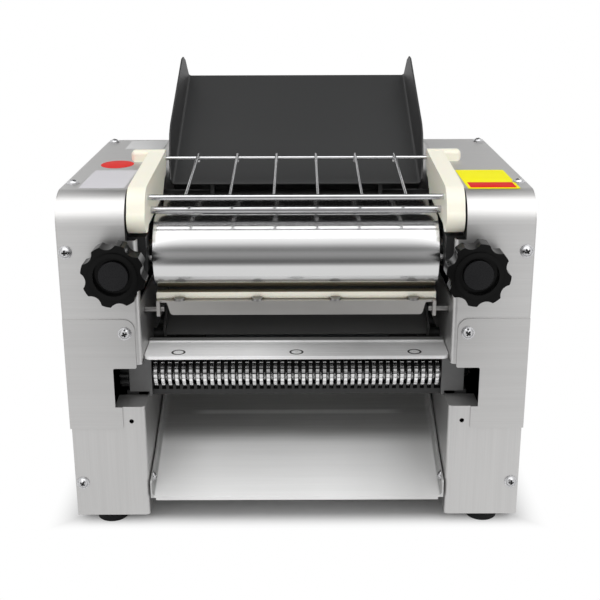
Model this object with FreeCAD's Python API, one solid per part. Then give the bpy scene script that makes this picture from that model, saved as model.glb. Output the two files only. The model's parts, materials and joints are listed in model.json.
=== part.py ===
import FreeCAD, Part
import math
import os

# Dough sheeter with noodle cutter. Millimetres, X to the right, Y to the rear, Z up.
# The model is drawn with the front faces at Y = 0 and the floor at Z = 0, and shifted
# along Y when it is written, so that the origin is the middle of the footprint.

# Body
WIDTH = 390.0
BODY_DEPTH = 274.0
BODY_TOP = 300.0
FOOT_H = 12.0
FOOT_R = 15.0
FOOT_TAPER = 1.5
FOOT_IN = 28.4
FOOT_FRONT = 22.0
TOWER_WIDTH = 65.0
SHEET = 1.2
BEND_R = 25.0
EDGE_R = 4.0
BASE_THICK = 2.0
BASE_FRONT = 60.0

# Clearances
FIT = 0.3
RUNNING = 0.05
SWEEP = 1.0
OVERRUN = 20.0

# Covers
UPPER_BOTTOM = 154.0
LEDGE_TOP = 115.5
LEDGE_DEPTH = 27.0
LEDGE_WIDTH = 26.0
LOWER_WALL_DEPTH = 140.0
PLATE_BOTTOM = 95.5
PLATE_TOP = 194.7
FLANGE_INSET = 5.0
PLATE_R = 9.5
NOTCH_WIDTH = 25.0
NOTCH_TOP = 151.0
FLANGE_FOOT_INSET = 19.0
SMALL_R = 1.6
PIN_HOLE_R = 2.0
PIN_HOLE_INSET = 12.0
PIN_HOLE_Z = 102.0
BRACKET_CUT_Z = 262.0
BRACKET_CUT_W = 9.0
BRACKET_CUT_REAR = 161.0
REAR_TOP = 268.0
VENT_W = 46.0
VENT_H = 4.0
VENT_PITCH = 10.0
VENT_COUNT = 6
VENT_BASE = 60.0

# Cover screws: domed heads on washers
SCREW_HEAD_R = 4.4
SCREW_DOME = 2.6
WASHER_R = 5.6
WASHER_T = 0.9
SCREW_R = 2.2
SCREW_LEN = 6.8
SOCKET_R = 1.7
SCREW_EDGE = 6.4
FRONT_UPPER_SCREW_Z = 252.6
PLATE_SCREW_INSET = 13.5
PLATE_SCREW_Z = 182.4
LOWER_SCREW_Z = 43.5
TOP_SCREW_FRONT = 48.0
TOP_SCREW_REAR_IN = 13.0
SIDE_SCREW_INSET = 14.0
CHUTE_SCREW_Y = 14.0
CHUTE_SCREW_Z = 42.6
CHUTE_SCREW_SHARE = 0.68

# Frame plates
PLATE_INSET = 9.5
PLATE_THICK = 10.0
PLATE_FRONT = 6.0
PLATE_FRONT_LOW = 30.0
PLATE_REAR_IN = 12.0
FRAME_TOP_GAP = 10.0
FRAME_R = 22.0
SLOT_FLOOR = 118.2
FOOT_FLANGE = 16.0
FOOT_FLANGE_T = 6.0
TIE_R = 7.0
TIE_END_R = 4.0
TIE_MIDDLE = (146.0, 146.0)
TIE_REAR_IN = 23.0
TIE_REAR_Z = 34.0
TIE_TRAY = (168.0, 262.0)

# Pressing rollers
ROLLER_R = 32.0
ROLLER_END_GAP = 9.0
ROLLER_CHAMFER = 0.8
ROLLER_Z = 240.0
FRONT_ROLLER_Y = 52.0
NIP = 2.0
NIP_MIN = 0.5
NIP_MAX = 6.0
JOURNAL_R = 10.0
BEARING_R = 23.5
BEARING_RING = 3.0
BEARING_SHIELD = 1.0
BLOCK_FRONT = 20.0
BLOCK_REAR = 80.0
BLOCK_HALF_H = 25.5
BLOCK_FLANGE_T = 5.0
BLOCK_FLANGE_LIP = 3.0
BLOCK_BOSS_H = 18.0
BLOCK_BOSS_OUT = 7.0
BLOCK_BOSS_DEPTH = 8.5
NOSE_REACH = 6.0
NOSE_FRONT = 12.0
NOSE_REAR = 38.0
NOSE_BOTTOM = 231.0
NOSE_TOP = 262.0
NOSE_SPLIT = 1.0
ARM_FRONT = 22.0
ARM_REAR = 38.0
ARM_BOTTOM = 187.0

# Knobs and adjusting screws
KNOB_INSET = 15.5
KNOB_R = 26.0
KNOB_VALLEY = 3.6
KNOB_LOBES = 8
KNOB_SCALLOP_ANGLE = 28.0
KNOB_TIP_R = 1.2
KNOB_TURN_RIGHT = 9.0
KNOB_TURN_LEFT = -15.0
KNOB_FRONT = 30.0
KNOB_THICK = 19.0
KNOB_HUB_R = 11.0
KNOB_HUB_GAP = 2.6
KNOB_RING_R = 19.5
KNOB_RECESS_R = 16.0
KNOB_RECESS = 5.0
KNOB_CAP_R = 12.3
KNOB_CAP_T = 3.0
KNOB_EDGE = 1.6
ADJ_R = 6.0
ADJ_NECK_R = 4.0
ADJ_HEAD_R = 6.8
ADJ_HEAD_T = 3.0
ADJ_NECK = 3.4
FRONT_BOSS_R = 11.0
KNOB_HOLE_R = 9.0

# Finger guard
GUARD_REACH = 7.5
GUARD_W = 15.0
WEB_GAP = 0.7
PIVOT_Y = 14.0
PIVOT_Z = 278.0
LUG_R = 12.5
PIVOT_R = 3.0
PIVOT_DEEP = 9.0
TAB_REACH = 24.0
TAB_FRONT = 146.0
TAB_REAR = 158.0
TAB_H = 10.5
ARM_BEND_R = 20.0
TAB_R = 4.0
ROD1 = (26.0, 292.5, 2.3)
ROD2 = (40.0, 278.6, 3.0)
ROD3 = (150.0, 303.0, 1.9)
ROD_IN = 4.0
WIRE_R = 1.3
WIRE_COUNT = 6
WIRE_PITCH = 36.6
HOOK_TURN = 170.0

# Feed tray
TRAY_SLOPE = 23.2
TRAY_T = 1.5
TRAY_LEN = 205.5
TRAY_FLARE = 4.0
TRAY_SIDE_GAP = 8.0
TRAY_FLANGE = 30.0
TRAY_FRONT_Y = 147.4
TRAY_FRONT_Z = 278.0
TRAY_FRONT_SHARES = ((0.0, 0.2), (0.1, 0.63), (0.22, 0.93), (0.29, 1.0))
TRAY_REAR_SHARES = ((0.92, 1.0), (0.97, 0.9), (1.0, 0.67))
TRAY_HOOK_X = 80.0
TRAY_HOOK_T = 4.0
TRAY_HOOK_W = 22.0
TRAY_LIFT_TILT = 20.0
SUPPORT_SIDE_GAP = 30.0
SUPPORT_T = 1.5
SUPPORT_FOOT = 30.0
SUPPORT_TOP_LEN = 40.0

# Scrapers
SCRAPER_END_GAP = 1.0
SCRAPER_T = 6.0
SCRAPER_FRONT = 31.0
SCRAPER_REACH = 15.0
SCRAPER_Z = 208.5
SCRAPER_TIP = 2.0
ANGLE_END_GAP = 19.0
ANGLE_TAPER = 3.4
ANGLE_FRONT = 25.0
ANGLE_REAR = 44.0
ANGLE_DROP = 12.5
ANGLE_T = 2.0
ANGLE_EAR_Y0 = 24.0
ANGLE_EAR_Y1 = 36.0
ANGLE_EAR_T = 3.0
SCRAPER_PIN_R = 2.5
SCRAPER_PIN_Y = 30.0
SCRAPER_PIN_Z = 194.0
SCRAPER_SCREW_PITCH = 66.8
SCRAPER_SCREW_HEAD_R = 4.6
SCRAPER_SCREW_HEAD_H = 2.0
SCRAPER_SCREW_COUNT = 4
REAR_SCRAPER_DROP = 5.0
REAR_SCRAPER_OUT = 20.0
REAR_BRACKET_W = 12.0

# Dough guide
GUIDE_END_GAP = 11.0
GUIDE_T = 1.5
GUIDE_TOP = (112.0, 198.0)
GUIDE_BOTTOM = (66.0, 158.0)
GUIDE_CHEEK_FRONT = (58.0, 166.0)
GUIDE_BOLT = (77.0, 155.0)
GUIDE_BOLT_R = 3.0
GUIDE_SPACER_R = 5.0
GUIDE_BOLT_END = 7.0
GUIDE_EAR = 8.0

# Cutter unit
CUTTER_Y = 38.0
CUTTER_Z = 134.5
CUTTER_SPACE = 25.0
CUTTER_R = 14.0
CUTTER_CORE_R = 10.4
CUTTER_END_GAP = 4.0
CUTTER_PITCH = 6.15
CUTTER_DISC = 2.85
CUTTER_TEETH = 20
CUTTER_TOOTH = 0.9
CUTTER_JOURNAL_R = 5.0
BAR_END_GAP = 0.6
BAR_FRONT = 4.0
BAR_REAR = 41.0
BAR_TOP = 160.0
BAR_T = 3.0
BAR_LIP = 4.0
BAR_END_R = 6.0
BAR_SCREW_R = 5.4
BAR_SCREW_PITCH = 101.0
BAR_SCREW_Y = 14.0
BAR_NUT_R = 4.4
BAR_NUT_T = 3.2
END_REACH = 3.2
END_FOOT = 114.0
END_BOTTOM = 118.5
BLOCK_REACH = 16.5
CUT_BLOCK_FRONT = 27.0
CUT_BLOCK_REAR = 71.0
CUT_BLOCK_TOP = 149.1
COMB_T = 2.2
COMB_FINGER = 2.5
COMB_BAR = 7.0
COMB_BAR_H = 5.0
COMB_REACH = 4.0

# Gears
MODULE = 2.5
PRESSURE = 20.0
ADDENDUM_SHARE = 0.78
DEDENDUM_SHARE = 1.05
BACKLASH = 0.36
MAIN_TEETH = 40
PINION_TEETH = 14
IDLER_TEETH = 36
CUTTER_GEAR_TEETH = 10
ROLLER_MODULE = 4.0
ROLLER_TEETH = 16
ROLLER_ADDENDUM_SHARE = 1.1
ROLLER_DEDENDUM_SHARE = 1.2
ROLLER_BACKLASH = 0.5
FLANK_STEPS = 4
CUTTER_GEAR_GAP = 0.5
CUTTER_GEAR_W = 7.5
IDLER_GAP = 0.7
MAIN_GAP = 2.5
MAIN_W = 10.0
ROLLER_GEAR_GAP = 4.5
ROLLER_GEAR_W = 11.0
STUD_R = 7.0
STUD_HEAD_R = 10.0
STUD_HEAD_T = 3.0
GEAR_NUT_T = 4.0

# Pinion shaft, belt drive and motor
LAY_ANGLE = -27.3
LAY_R = 8.5
HOUSING_R = 20.0
HOUSING_FLANGE_R = 27.0
HOUSING_INSET = 3.0
PULLEY_R = 68.0
PULLEY_HUB_R = 16.0
PULLEY_WEB = 5.0
PULLEY_RIM = 9.0
MOTOR_PULLEY_R = 20.0
PULLEY_W = 13.0
PULLEY_SIDE_GAP = 6.8
BELT_W = 9.0
BELT_T = 6.0
BELT_SIDE = 0.5
PULLEY_LIP = 3.0
MOTOR_BACK = 87.0
MOTOR_Z = 87.0
MOTOR_R = 50.0
MOTOR_HALF = 92.0
MOTOR_BELL = 22.0
MOTOR_BELL_R = 46.0
MOTOR_FIN = 2.0
MOTOR_FINS = 24
MOTOR_SHAFT_R = 7.5
CRADLE_W = 70.0
CRADLE_L = 110.0
CRADLE_T = 4.0

# Switch and cable gland
SWITCH_Y = 55.0
SWITCH_Z = 134.0
SWITCH_W = 26.0
SWITCH_H = 34.0
SWITCH_BEZEL = 1.6
SWITCH_RIM = 3.0
SWITCH_DEEP = 22.0
ROCKER_T = 5.0
ROCKER_TILT = 8.0
ROCKER_GAP = 1.8
ROCKER_AXLE_R = 1.5
GLAND_IN = 35.0
GLAND_Z = 50.0
GLAND_R = 9.0
GLAND_LEN = 16.0
GLAND_BORE = 4.5
GLAND_FLANGE_R = 13.0
GLAND_FLANGE_T = 3.0

# Discharge chute
CHUTE_GAP = 1.2
CHUTE_LIP_Z = 29.5
CHUTE_BEND = (120.0, 71.0)
CHUTE_BACK_Y = 137.0
CHUTE_BACK_TOP = 114.0
CHUTE_BEND_R = 18.0
CHUTE_CORNER_R = 4.5
CHUTE_FLANGE = ((0.0, 44.0), (41.0, 55.0), (122.0, 87.0))
CHUTE_HEM = 3.4

# Worked-out places
HALF = WIDTH / 2
TOWER_IN = HALF - TOWER_WIDTH
BODY_IN = HALF - SHEET
FOOT_X = HALF - FOOT_IN
LEDGE_OUT = TOWER_IN + LEDGE_WIDTH
PLATE_IN = TOWER_IN + FLANGE_INSET
NOTCH_OUT = TOWER_IN + NOTCH_WIDTH
PLATE_FOOT_IN = TOWER_IN + FLANGE_FOOT_INSET
PIN_HOLE_X = TOWER_IN + PIN_HOLE_INSET
BRACKET_CUT_X = TOWER_IN + BRACKET_CUT_W
TOP_SCREW_REAR = BODY_DEPTH - TOP_SCREW_REAR_IN
PLATE_SCREW_X = TOWER_IN + PLATE_SCREW_INSET
PLATE_X = TOWER_IN + PLATE_INSET
PLATE_OUT = PLATE_X + PLATE_THICK
PLATE_REAR = BODY_DEPTH - PLATE_REAR_IN
FRAME_TOP = BODY_TOP - FRAME_TOP_GAP
TIE_PLACES = (TIE_MIDDLE, (BODY_DEPTH - TIE_REAR_IN, TIE_REAR_Z), TIE_TRAY)
ROLLER_LEN = 2 * (TOWER_IN - ROLLER_END_GAP)
NOSE_IN = TOWER_IN - NOSE_REACH
KNOB_X = TOWER_IN + KNOB_INSET
GUARD_IN = TOWER_IN - GUARD_REACH
GUARD_OUT = GUARD_IN + GUARD_W
WEB_OUT = TOWER_IN - WEB_GAP
TAB_OUT = TOWER_IN + TAB_REACH
TRAY_TOP_HALF = TOWER_IN - TRAY_SIDE_GAP
TRAY_FLOOR_HALF = TRAY_TOP_HALF - TRAY_FLARE
SUPPORT_HALF = TOWER_IN - SUPPORT_SIDE_GAP
SCRAPER_LEN = ROLLER_LEN - 2 * SCRAPER_END_GAP
ANGLE_HALF = TOWER_IN - ANGLE_END_GAP
GUIDE_HALF = TOWER_IN - GUIDE_END_GAP
CUTTER_HALF = TOWER_IN - CUTTER_END_GAP
BAR_HALF = TOWER_IN - BAR_END_GAP
END_IN = TOWER_IN - END_REACH
BLOCK_OUT = TOWER_IN + BLOCK_REACH
CUTTER_GEAR_X0 = BLOCK_OUT + CUTTER_GEAR_GAP
CUTTER_GEAR_X1 = CUTTER_GEAR_X0 + CUTTER_GEAR_W
MAIN_X0 = PLATE_OUT + MAIN_GAP
MAIN_X1 = MAIN_X0 + MAIN_W
IDLER_X0 = PLATE_OUT + IDLER_GAP
IDLER_X1 = MAIN_X1
ROLLER_GEAR_X0 = PLATE_OUT + ROLLER_GEAR_GAP
ROLLER_GEAR_X1 = ROLLER_GEAR_X0 + ROLLER_GEAR_W
HOUSING_IN = TOWER_IN + HOUSING_INSET
PULLEY_X1 = BODY_IN - PULLEY_SIDE_GAP
PULLEY_X0 = PULLEY_X1 - PULLEY_W
GLAND_X = -HALF + GLAND_IN
REAR_ROLLER_Y = FRONT_ROLLER_Y + 2 * ROLLER_R + NIP
MOTOR_Y = REAR_ROLLER_Y + MOTOR_BACK
TRAVEL_IN = NIP - NIP_MIN
TRAVEL_OUT = NIP_MAX - NIP
MAIN_R = MODULE * MAIN_TEETH / 2
PINION_R = MODULE * PINION_TEETH / 2
IDLER_R = MODULE * IDLER_TEETH / 2
CUTTER_GEAR_R = MODULE * CUTTER_GEAR_TEETH / 2
LAY_Y = REAR_ROLLER_Y + (MAIN_R + PINION_R) * math.cos(math.radians(LAY_ANGLE))
LAY_Z = ROLLER_Z + (MAIN_R + PINION_R) * math.sin(math.radians(LAY_ANGLE))
REAR_CUTTER_Y = CUTTER_Y + CUTTER_SPACE
TRAY_S = math.radians(TRAY_SLOPE)
TRAY_REAR_Y = TRAY_FRONT_Y + TRAY_LEN * math.cos(TRAY_S)
Y_MIDDLE = (TRAY_REAR_Y - KNOB_FRONT) / 2

PARTS = "parts"


def V(x, y, z):
    return FreeCAD.Vector(x, y, z)


def block(x0, x1, y0, y1, z0, z1):
    return Part.makeBox(x1 - x0, y1 - y0, z1 - z0, V(x0, y0, z0))


def rod_x(x0, x1, y, z, r):
    return Part.makeCylinder(r, x1 - x0, V(x0, y, z), V(1, 0, 0))


def rod_y(y0, y1, x, z, r):
    return Part.makeCylinder(r, y1 - y0, V(x, y0, z), V(0, 1, 0))


def rod_z(z0, z1, x, y, r):
    return Part.makeCylinder(r, z1 - z0, V(x, y, z0), V(0, 0, 1))


def outline(corners, place):
    """A closed wire through corners (u, v) or (u, v, radius), rounded where a radius is given."""
    count = len(corners)
    starts, ends, middles = [], [], []
    for i in range(count):
        here = V(corners[i][0], corners[i][1], 0)
        radius = corners[i][2] if len(corners[i]) > 2 else 0
        before = V(corners[i - 1][0], corners[i - 1][1], 0) - here
        after = V(corners[(i + 1) % count][0], corners[(i + 1) % count][1], 0) - here
        before.normalize()
        after.normalize()
        if not radius:
            starts.append(here)
            ends.append(here)
            middles.append(None)
            continue
        half = before.getAngle(after) / 2
        reach = radius / math.tan(half)
        middle = before + after
        middle.normalize()
        starts.append(here + before * reach)
        ends.append(here + after * reach)
        middles.append(here + middle * (radius / math.sin(half) - radius))
    edges = []
    for i in range(count):
        if middles[i] is not None:
            arc = Part.Arc(place(starts[i]), place(middles[i]), place(ends[i]))
            edges.append(arc.toShape())
        following = starts[(i + 1) % count]
        if ends[i].distanceToPoint(following) > Part.Precision.confusion() * 10:
            edges.append(Part.LineSegment(place(ends[i]), place(following)).toShape())
    return Part.Face(Part.Wire(edges))


def prism_x(corners, x0, x1):
    """Corners in (Y, Z), drawn out along X."""
    return outline(corners, lambda p: V(x0, p.x, p.y)).extrude(V(x1 - x0, 0, 0))


def prism_y(corners, y0, y1):
    """Corners in (X, Z), drawn out along Y."""
    return outline(corners, lambda p: V(p.x, y0, p.y)).extrude(V(0, y1 - y0, 0))


def prism_z(corners, z0, z1):
    """Corners in (X, Y), drawn out along Z."""
    return outline(corners, lambda p: V(p.x, p.y, z0)).extrude(V(0, 0, z1 - z0))


def mirrored(shape):
    return shape.mirror(V(0, 0, 0), V(1, 0, 0))


def turned_x(shape, y, z, degrees):
    turned = shape.copy()
    turned.rotate(V(0, y, z), V(1, 0, 0), degrees)
    return turned


def solids_of(shape):
    return shape.Solids if shape.Solids else [shape]


def save(name, *shapes):
    """Writes one node: every solid in it, shifted so that the footprint's middle is the origin."""
    solids = []
    for shape in shapes:
        for solid in solids_of(shape):
            moved = solid.copy()
            moved.translate(V(0, -Y_MIDDLE, 0))
            solids.append(moved)
    for solid in solids:
        if not solid.isValid():
            print("not valid:", name)
    Part.makeCompound(solids).exportStep(os.path.join(PARTS, name + ".step"))
    print(name, len(solids), round(sum(s.Volume for s in solids) / 1000, 1))


# Gear teeth

def involute(angle):
    return math.tan(angle) - angle


def gear_radii(teeth, module, addendum, dedendum):
    pitch = module * teeth / 2
    return pitch, pitch + addendum * module, pitch - dedendum * module


def gear(teeth, x0, x1, y, z, phase, bore, module=MODULE, addendum=ADDENDUM_SHARE,
         dedendum=DEDENDUM_SHARE, backlash=BACKLASH):
    """An involute spur gear with a tooth's middle at the angle phase, measured from Y to Z."""
    pitch, tip, root = gear_radii(teeth, module, addendum, dedendum)
    pressure = math.radians(PRESSURE)
    base = pitch * math.cos(pressure)
    half = math.pi / (2 * teeth) - backlash / (2 * pitch) + involute(pressure)
    low = max(base, root)
    flank = []
    for step in range(FLANK_STEPS + 1):
        r = low + (tip - low) * step / FLANK_STEPS
        flank.append((r, half - involute(math.acos(min(1.0, base / r)))))
    if root < base:
        flank.insert(0, (root, flank[0][1]))
    points = []
    for tooth in range(teeth):
        middle = phase + 2 * math.pi * tooth / teeth
        for r, angle in flank:
            points.append((y + r * math.cos(middle - angle), z + r * math.sin(middle - angle)))
        for r, angle in reversed(flank):
            points.append((y + r * math.cos(middle + angle), z + r * math.sin(middle + angle)))
    blank = prism_x(points, x0, x1)
    return blank.cut(rod_x(x0 - OVERRUN, x1 + OVERRUN, y, z, bore))


def meshing_phase(phase_a, teeth_a, teeth_b, direction):
    """The phase of gear b when gear a, with phase_a, meshes with it in the given direction."""
    offset = phase_a - direction
    return direction + math.pi - offset * teeth_a / teeth_b + math.pi / teeth_b


def idler_place():
    """The idler touches the main gear and the rear cutter's gear, on the rear side of both."""
    to_cutter = IDLER_R + CUTTER_GEAR_R
    to_main = IDLER_R + MAIN_R
    dy = REAR_ROLLER_Y - REAR_CUTTER_Y
    dz = ROLLER_Z - CUTTER_Z
    apart = math.hypot(dy, dz)
    along = (to_cutter ** 2 - to_main ** 2 + apart ** 2) / (2 * apart)
    aside = math.sqrt(to_cutter ** 2 - along ** 2)
    return (REAR_CUTTER_Y + (along * dy + aside * dz) / apart, CUTTER_Z + (along * dz - aside * dy) / apart)


IDLER_Y, IDLER_Z = idler_place()


# Covers

def tower_profile(front, bottom, top, rear, radius):
    return [(front, bottom), (front, top, radius), (rear, top), (rear, bottom)]


def inner_edges_rounded(shape, x, radius):
    """Rounds the long edges of a tower body that lie in the plane X = x at the front and the top."""
    chosen = []
    for edge in shape.Edges:
        box = edge.BoundBox
        at_side = abs(box.XMin - x) < FIT and abs(box.XMax - x) < FIT
        at_rear = box.YMin > BODY_DEPTH - SHEET - FIT
        at_bottom = box.ZMax < UPPER_BOTTOM + FIT and box.YMax > BEND_R
        if at_side and not at_rear and not at_bottom:
            chosen.append(edge)
    return shape.makeFillet(radius, chosen)


def upper_cover():
    """Right upper cover: front, rounded bend, top and inner wall, bent from one sheet."""
    rear = BODY_DEPTH - SHEET
    outer = prism_x(tower_profile(0, UPPER_BOTTOM, BODY_TOP, rear, BEND_R), TOWER_IN, BODY_IN)
    outer = inner_edges_rounded(outer, TOWER_IN, EDGE_R)
    hollow = prism_x(tower_profile(SHEET, UPPER_BOTTOM, BODY_TOP - SHEET, rear, BEND_R - SHEET),
                     TOWER_IN + SHEET, BODY_IN)
    hollow = inner_edges_rounded(hollow, TOWER_IN + SHEET, EDGE_R - SHEET)
    tail = block(TOWER_IN + SHEET, BODY_IN + OVERRUN, SHEET + BEND_R, BODY_DEPTH + OVERRUN,
                 UPPER_BOTTOM - OVERRUN, BODY_TOP - SHEET - EDGE_R)
    cover = outer.cut(hollow).cut(tail)
    bottom = block(TOWER_IN + EDGE_R, BODY_IN + OVERRUN, SHEET, BODY_DEPTH + OVERRUN,
                   UPPER_BOTTOM - OVERRUN, UPPER_BOTTOM + EDGE_R)
    side = block(BODY_IN - SHEET, BODY_IN + OVERRUN, SHEET, BODY_DEPTH + OVERRUN,
                 UPPER_BOTTOM - OVERRUN, BODY_TOP - BEND_R)
    cover = cover.cut(bottom).cut(side)
    cover = cover.cut(block(TOWER_IN - OVERRUN, BRACKET_CUT_X, -OVERRUN, BRACKET_CUT_REAR,
                            BRACKET_CUT_Z, BODY_TOP + OVERRUN))
    window_front = PLATE_FRONT + SWEEP
    cover = cover.cut(block(TOWER_IN - OVERRUN, TOWER_IN + 2 * SHEET, window_front,
                            REAR_ROLLER_Y + BEARING_R, ROLLER_Z - ROLLER_R, BRACKET_CUT_Z + SWEEP))
    pin_slot = block(TOWER_IN - OVERRUN, TOWER_IN + 2 * SHEET,
                     SCRAPER_PIN_Y - SCRAPER_PIN_R - TRAVEL_OUT - SWEEP,
                     SCRAPER_PIN_Y + SCRAPER_PIN_R + TRAVEL_IN + SWEEP,
                     SCRAPER_PIN_Z - SCRAPER_PIN_R - SWEEP, SCRAPER_PIN_Z + SCRAPER_PIN_R + SWEEP)
    cover = cover.cut(pin_slot)
    for y, z, r in [(y, z, TIE_R) for y, z in TIE_PLACES] + [GUIDE_BOLT + (GUIDE_SPACER_R,)]:
        cover = cover.cut(rod_x(TOWER_IN - OVERRUN, TOWER_IN + 2 * SHEET, y, z, r + FIT))
    cover = cover.cut(rear_scraper_slot())
    cover = cover.cut(rod_y(-OVERRUN, 2 * SHEET, KNOB_X, ROLLER_Z, KNOB_HOLE_R))
    return drilled(cover)


def rear_scraper_slot():
    y = REAR_ROLLER_Y + REAR_SCRAPER_OUT
    return block(TOWER_IN - OVERRUN, TOWER_IN + 2 * SHEET, y - SWEEP, y + REAR_BRACKET_W + SWEEP,
                 rear_bracket_z() - SWEEP, rear_bracket_z() + ANGLE_T + SWEEP)


def flange_outline():
    return [(HALF, PLATE_BOTTOM), (HALF, PLATE_TOP), (PLATE_IN, PLATE_TOP, PLATE_R),
            (PLATE_IN, NOTCH_TOP, SMALL_R), (NOTCH_OUT, NOTCH_TOP, SMALL_R),
            (NOTCH_OUT, LEDGE_TOP), (PLATE_FOOT_IN, LEDGE_TOP), (PLATE_FOOT_IN, PLATE_BOTTOM, SMALL_R)]


def side_cover(with_switch):
    """Right side cover: a flat panel with a front flange that carries the cutter notch."""
    panel = prism_x(tower_profile(0, PLATE_BOTTOM, BODY_TOP, BODY_DEPTH, BEND_R), BODY_IN, HALF)
    flange = prism_y(flange_outline(), -SHEET, 0)
    cover = panel.fuse(flange).removeSplitter()
    if with_switch:
        cover = cover.cut(block(BODY_IN - OVERRUN, HALF + OVERRUN, SWITCH_Y - SWITCH_W / 2,
                                SWITCH_Y + SWITCH_W / 2, SWITCH_Z - SWITCH_H / 2,
                                SWITCH_Z + SWITCH_H / 2))
    return drilled(cover)


def lower_cover():
    """Right lower cover: front, inner wall, outer wall and the ledge under the cutter."""
    body = block(TOWER_IN, BODY_IN, 0, LOWER_WALL_DEPTH, FOOT_H, LEDGE_TOP)
    edge = [e for e in body.Edges if e.BoundBox.XMax < TOWER_IN + FIT and e.BoundBox.YMax < FIT]
    body = body.makeFillet(EDGE_R, edge)
    hollow = block(TOWER_IN + SHEET, BODY_IN - SHEET, SHEET, LOWER_WALL_DEPTH + OVERRUN,
                   FOOT_H - OVERRUN, LEDGE_TOP - SHEET)
    inner = [e for e in hollow.Edges
             if e.BoundBox.XMax < TOWER_IN + SHEET + FIT and e.BoundBox.YMax < SHEET + FIT]
    hollow = hollow.makeFillet(EDGE_R - SHEET, inner)
    cover = body.cut(hollow)
    cover = cover.cut(block(TOWER_IN + SHEET, BODY_IN - SHEET, LEDGE_DEPTH,
                            LOWER_WALL_DEPTH + OVERRUN, LEDGE_TOP - 2 * SHEET, LEDGE_TOP + OVERRUN))
    cover = cover.cut(block(LEDGE_OUT, BODY_IN - SHEET, SHEET, LEDGE_DEPTH + OVERRUN,
                            LEDGE_TOP - 2 * SHEET, LEDGE_TOP + OVERRUN))
    cover = cover.cut(block(TOWER_IN - OVERRUN, TOWER_IN + 2 * SHEET, BASE_FRONT,
                            LOWER_WALL_DEPTH + OVERRUN, FOOT_H - OVERRUN, FOOT_H + BASE_THICK))
    rear = block(BODY_IN - SHEET, BODY_IN, LOWER_WALL_DEPTH, BODY_DEPTH - SHEET, FOOT_H, LEDGE_TOP)
    cover = cover.fuse(rear).removeSplitter()
    cover = cover.cut(rod_y(-OVERRUN, 2 * SHEET, PIN_HOLE_X, PIN_HOLE_Z, PIN_HOLE_R))
    return drilled(cover)


def rear_cover():
    """One sheet that closes both towers and the space between them, with vents and the gland."""
    panel = prism_y([(-BODY_IN, FOOT_H), (BODY_IN, FOOT_H), (BODY_IN, BODY_TOP),
                     (TOWER_IN, BODY_TOP, EDGE_R), (TOWER_IN, REAR_TOP), (-TOWER_IN, REAR_TOP),
                     (-TOWER_IN, BODY_TOP, EDGE_R), (-BODY_IN, BODY_TOP)],
                    BODY_DEPTH - SHEET, BODY_DEPTH)
    for side in (-1, 1):
        for row in range(VENT_COUNT):
            x = side * VENT_W
            z = VENT_BASE + row * VENT_PITCH
            slot = prism_y([(x - VENT_W / 2, z, VENT_H / 2.1), (x + VENT_W / 2, z, VENT_H / 2.1),
                            (x + VENT_W / 2, z + VENT_H, VENT_H / 2.1),
                            (x - VENT_W / 2, z + VENT_H, VENT_H / 2.1)],
                           BODY_DEPTH - OVERRUN, BODY_DEPTH + OVERRUN)
            panel = panel.cut(slot)
    panel = panel.cut(rod_y(BODY_DEPTH - OVERRUN, BODY_DEPTH + OVERRUN, GLAND_X, GLAND_Z, GLAND_R))
    for place in rear_screws():
        panel = panel.cut(screw_hole(*place))
    return panel


def base_plate():
    """A flat sheet under both towers and the motor, open at the front under the chute."""
    side = BODY_IN - SHEET
    wall = TOWER_IN + SHEET
    bend = EDGE_R - SHEET
    corners = [(-side, SHEET), (-wall, SHEET, bend), (-wall, BASE_FRONT), (wall, BASE_FRONT),
               (wall, SHEET, bend), (side, SHEET), (side, BODY_DEPTH - SHEET),
               (-side, BODY_DEPTH - SHEET)]
    return prism_z(corners, FOOT_H, FOOT_H + BASE_THICK)


def feet():
    shapes = []
    for x in (-FOOT_X, FOOT_X):
        for y in (FOOT_FRONT, BODY_DEPTH - FOOT_FRONT):
            shapes.append(Part.makeCone(FOOT_R - FOOT_TAPER, FOOT_R, FOOT_H, V(x, y, 0)))
    return shapes


# Cover screws. A place is (x, y, z, axis), the head's seat and the way that the head points.

def upper_screws():
    x = HALF - SCREW_EDGE
    return [(x, 0, FRONT_UPPER_SCREW_Z, V(0, -1, 0)), (x, TOP_SCREW_FRONT, BODY_TOP, V(0, 0, 1)),
            (x, TOP_SCREW_REAR, BODY_TOP, V(0, 0, 1))]


def plate_screws():
    return [(PLATE_SCREW_X, -SHEET, PLATE_SCREW_Z, V(0, -1, 0))]


def lower_screws():
    return [(HALF - SCREW_EDGE - SHEET, 0, LOWER_SCREW_Z, V(0, -1, 0))]


def side_screws():
    low = PLATE_BOTTOM + SIDE_SCREW_INSET
    high = BODY_TOP - 2 * SIDE_SCREW_INSET
    near = 2 * SIDE_SCREW_INSET
    far = BODY_DEPTH - SIDE_SCREW_INSET
    return [(HALF, y, z, V(1, 0, 0)) for y, z in ((near, low), (far, low), (near, high), (far, high))]


def chute_screws():
    return [(TOWER_IN - CHUTE_GAP - SHEET, CHUTE_SCREW_Y, CHUTE_SCREW_Z, V(-1, 0, 0))]


def rear_screws():
    x = HALF - SIDE_SCREW_INSET
    places = []
    for side in (-1, 1):
        for z in (FOOT_H + SIDE_SCREW_INSET, BODY_TOP / 2, BODY_TOP - SIDE_SCREW_INSET):
            places.append((side * x, BODY_DEPTH, z, V(0, 1, 0)))
    return places


def screw_hole(x, y, z, axis, share=1.0):
    return Part.makeCylinder(SCREW_R * share, 2 * SCREW_LEN, V(x, y, z) - axis * SCREW_LEN, axis)


def drilled(cover):
    """A right-hand cover with every screw hole that meets it."""
    for place in upper_screws() + plate_screws() + lower_screws() + side_screws():
        cover = cover.cut(screw_hole(*place))
    for place in chute_screws():
        cover = cover.cut(screw_hole(*place, CHUTE_SCREW_SHARE))
    return cover


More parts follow.
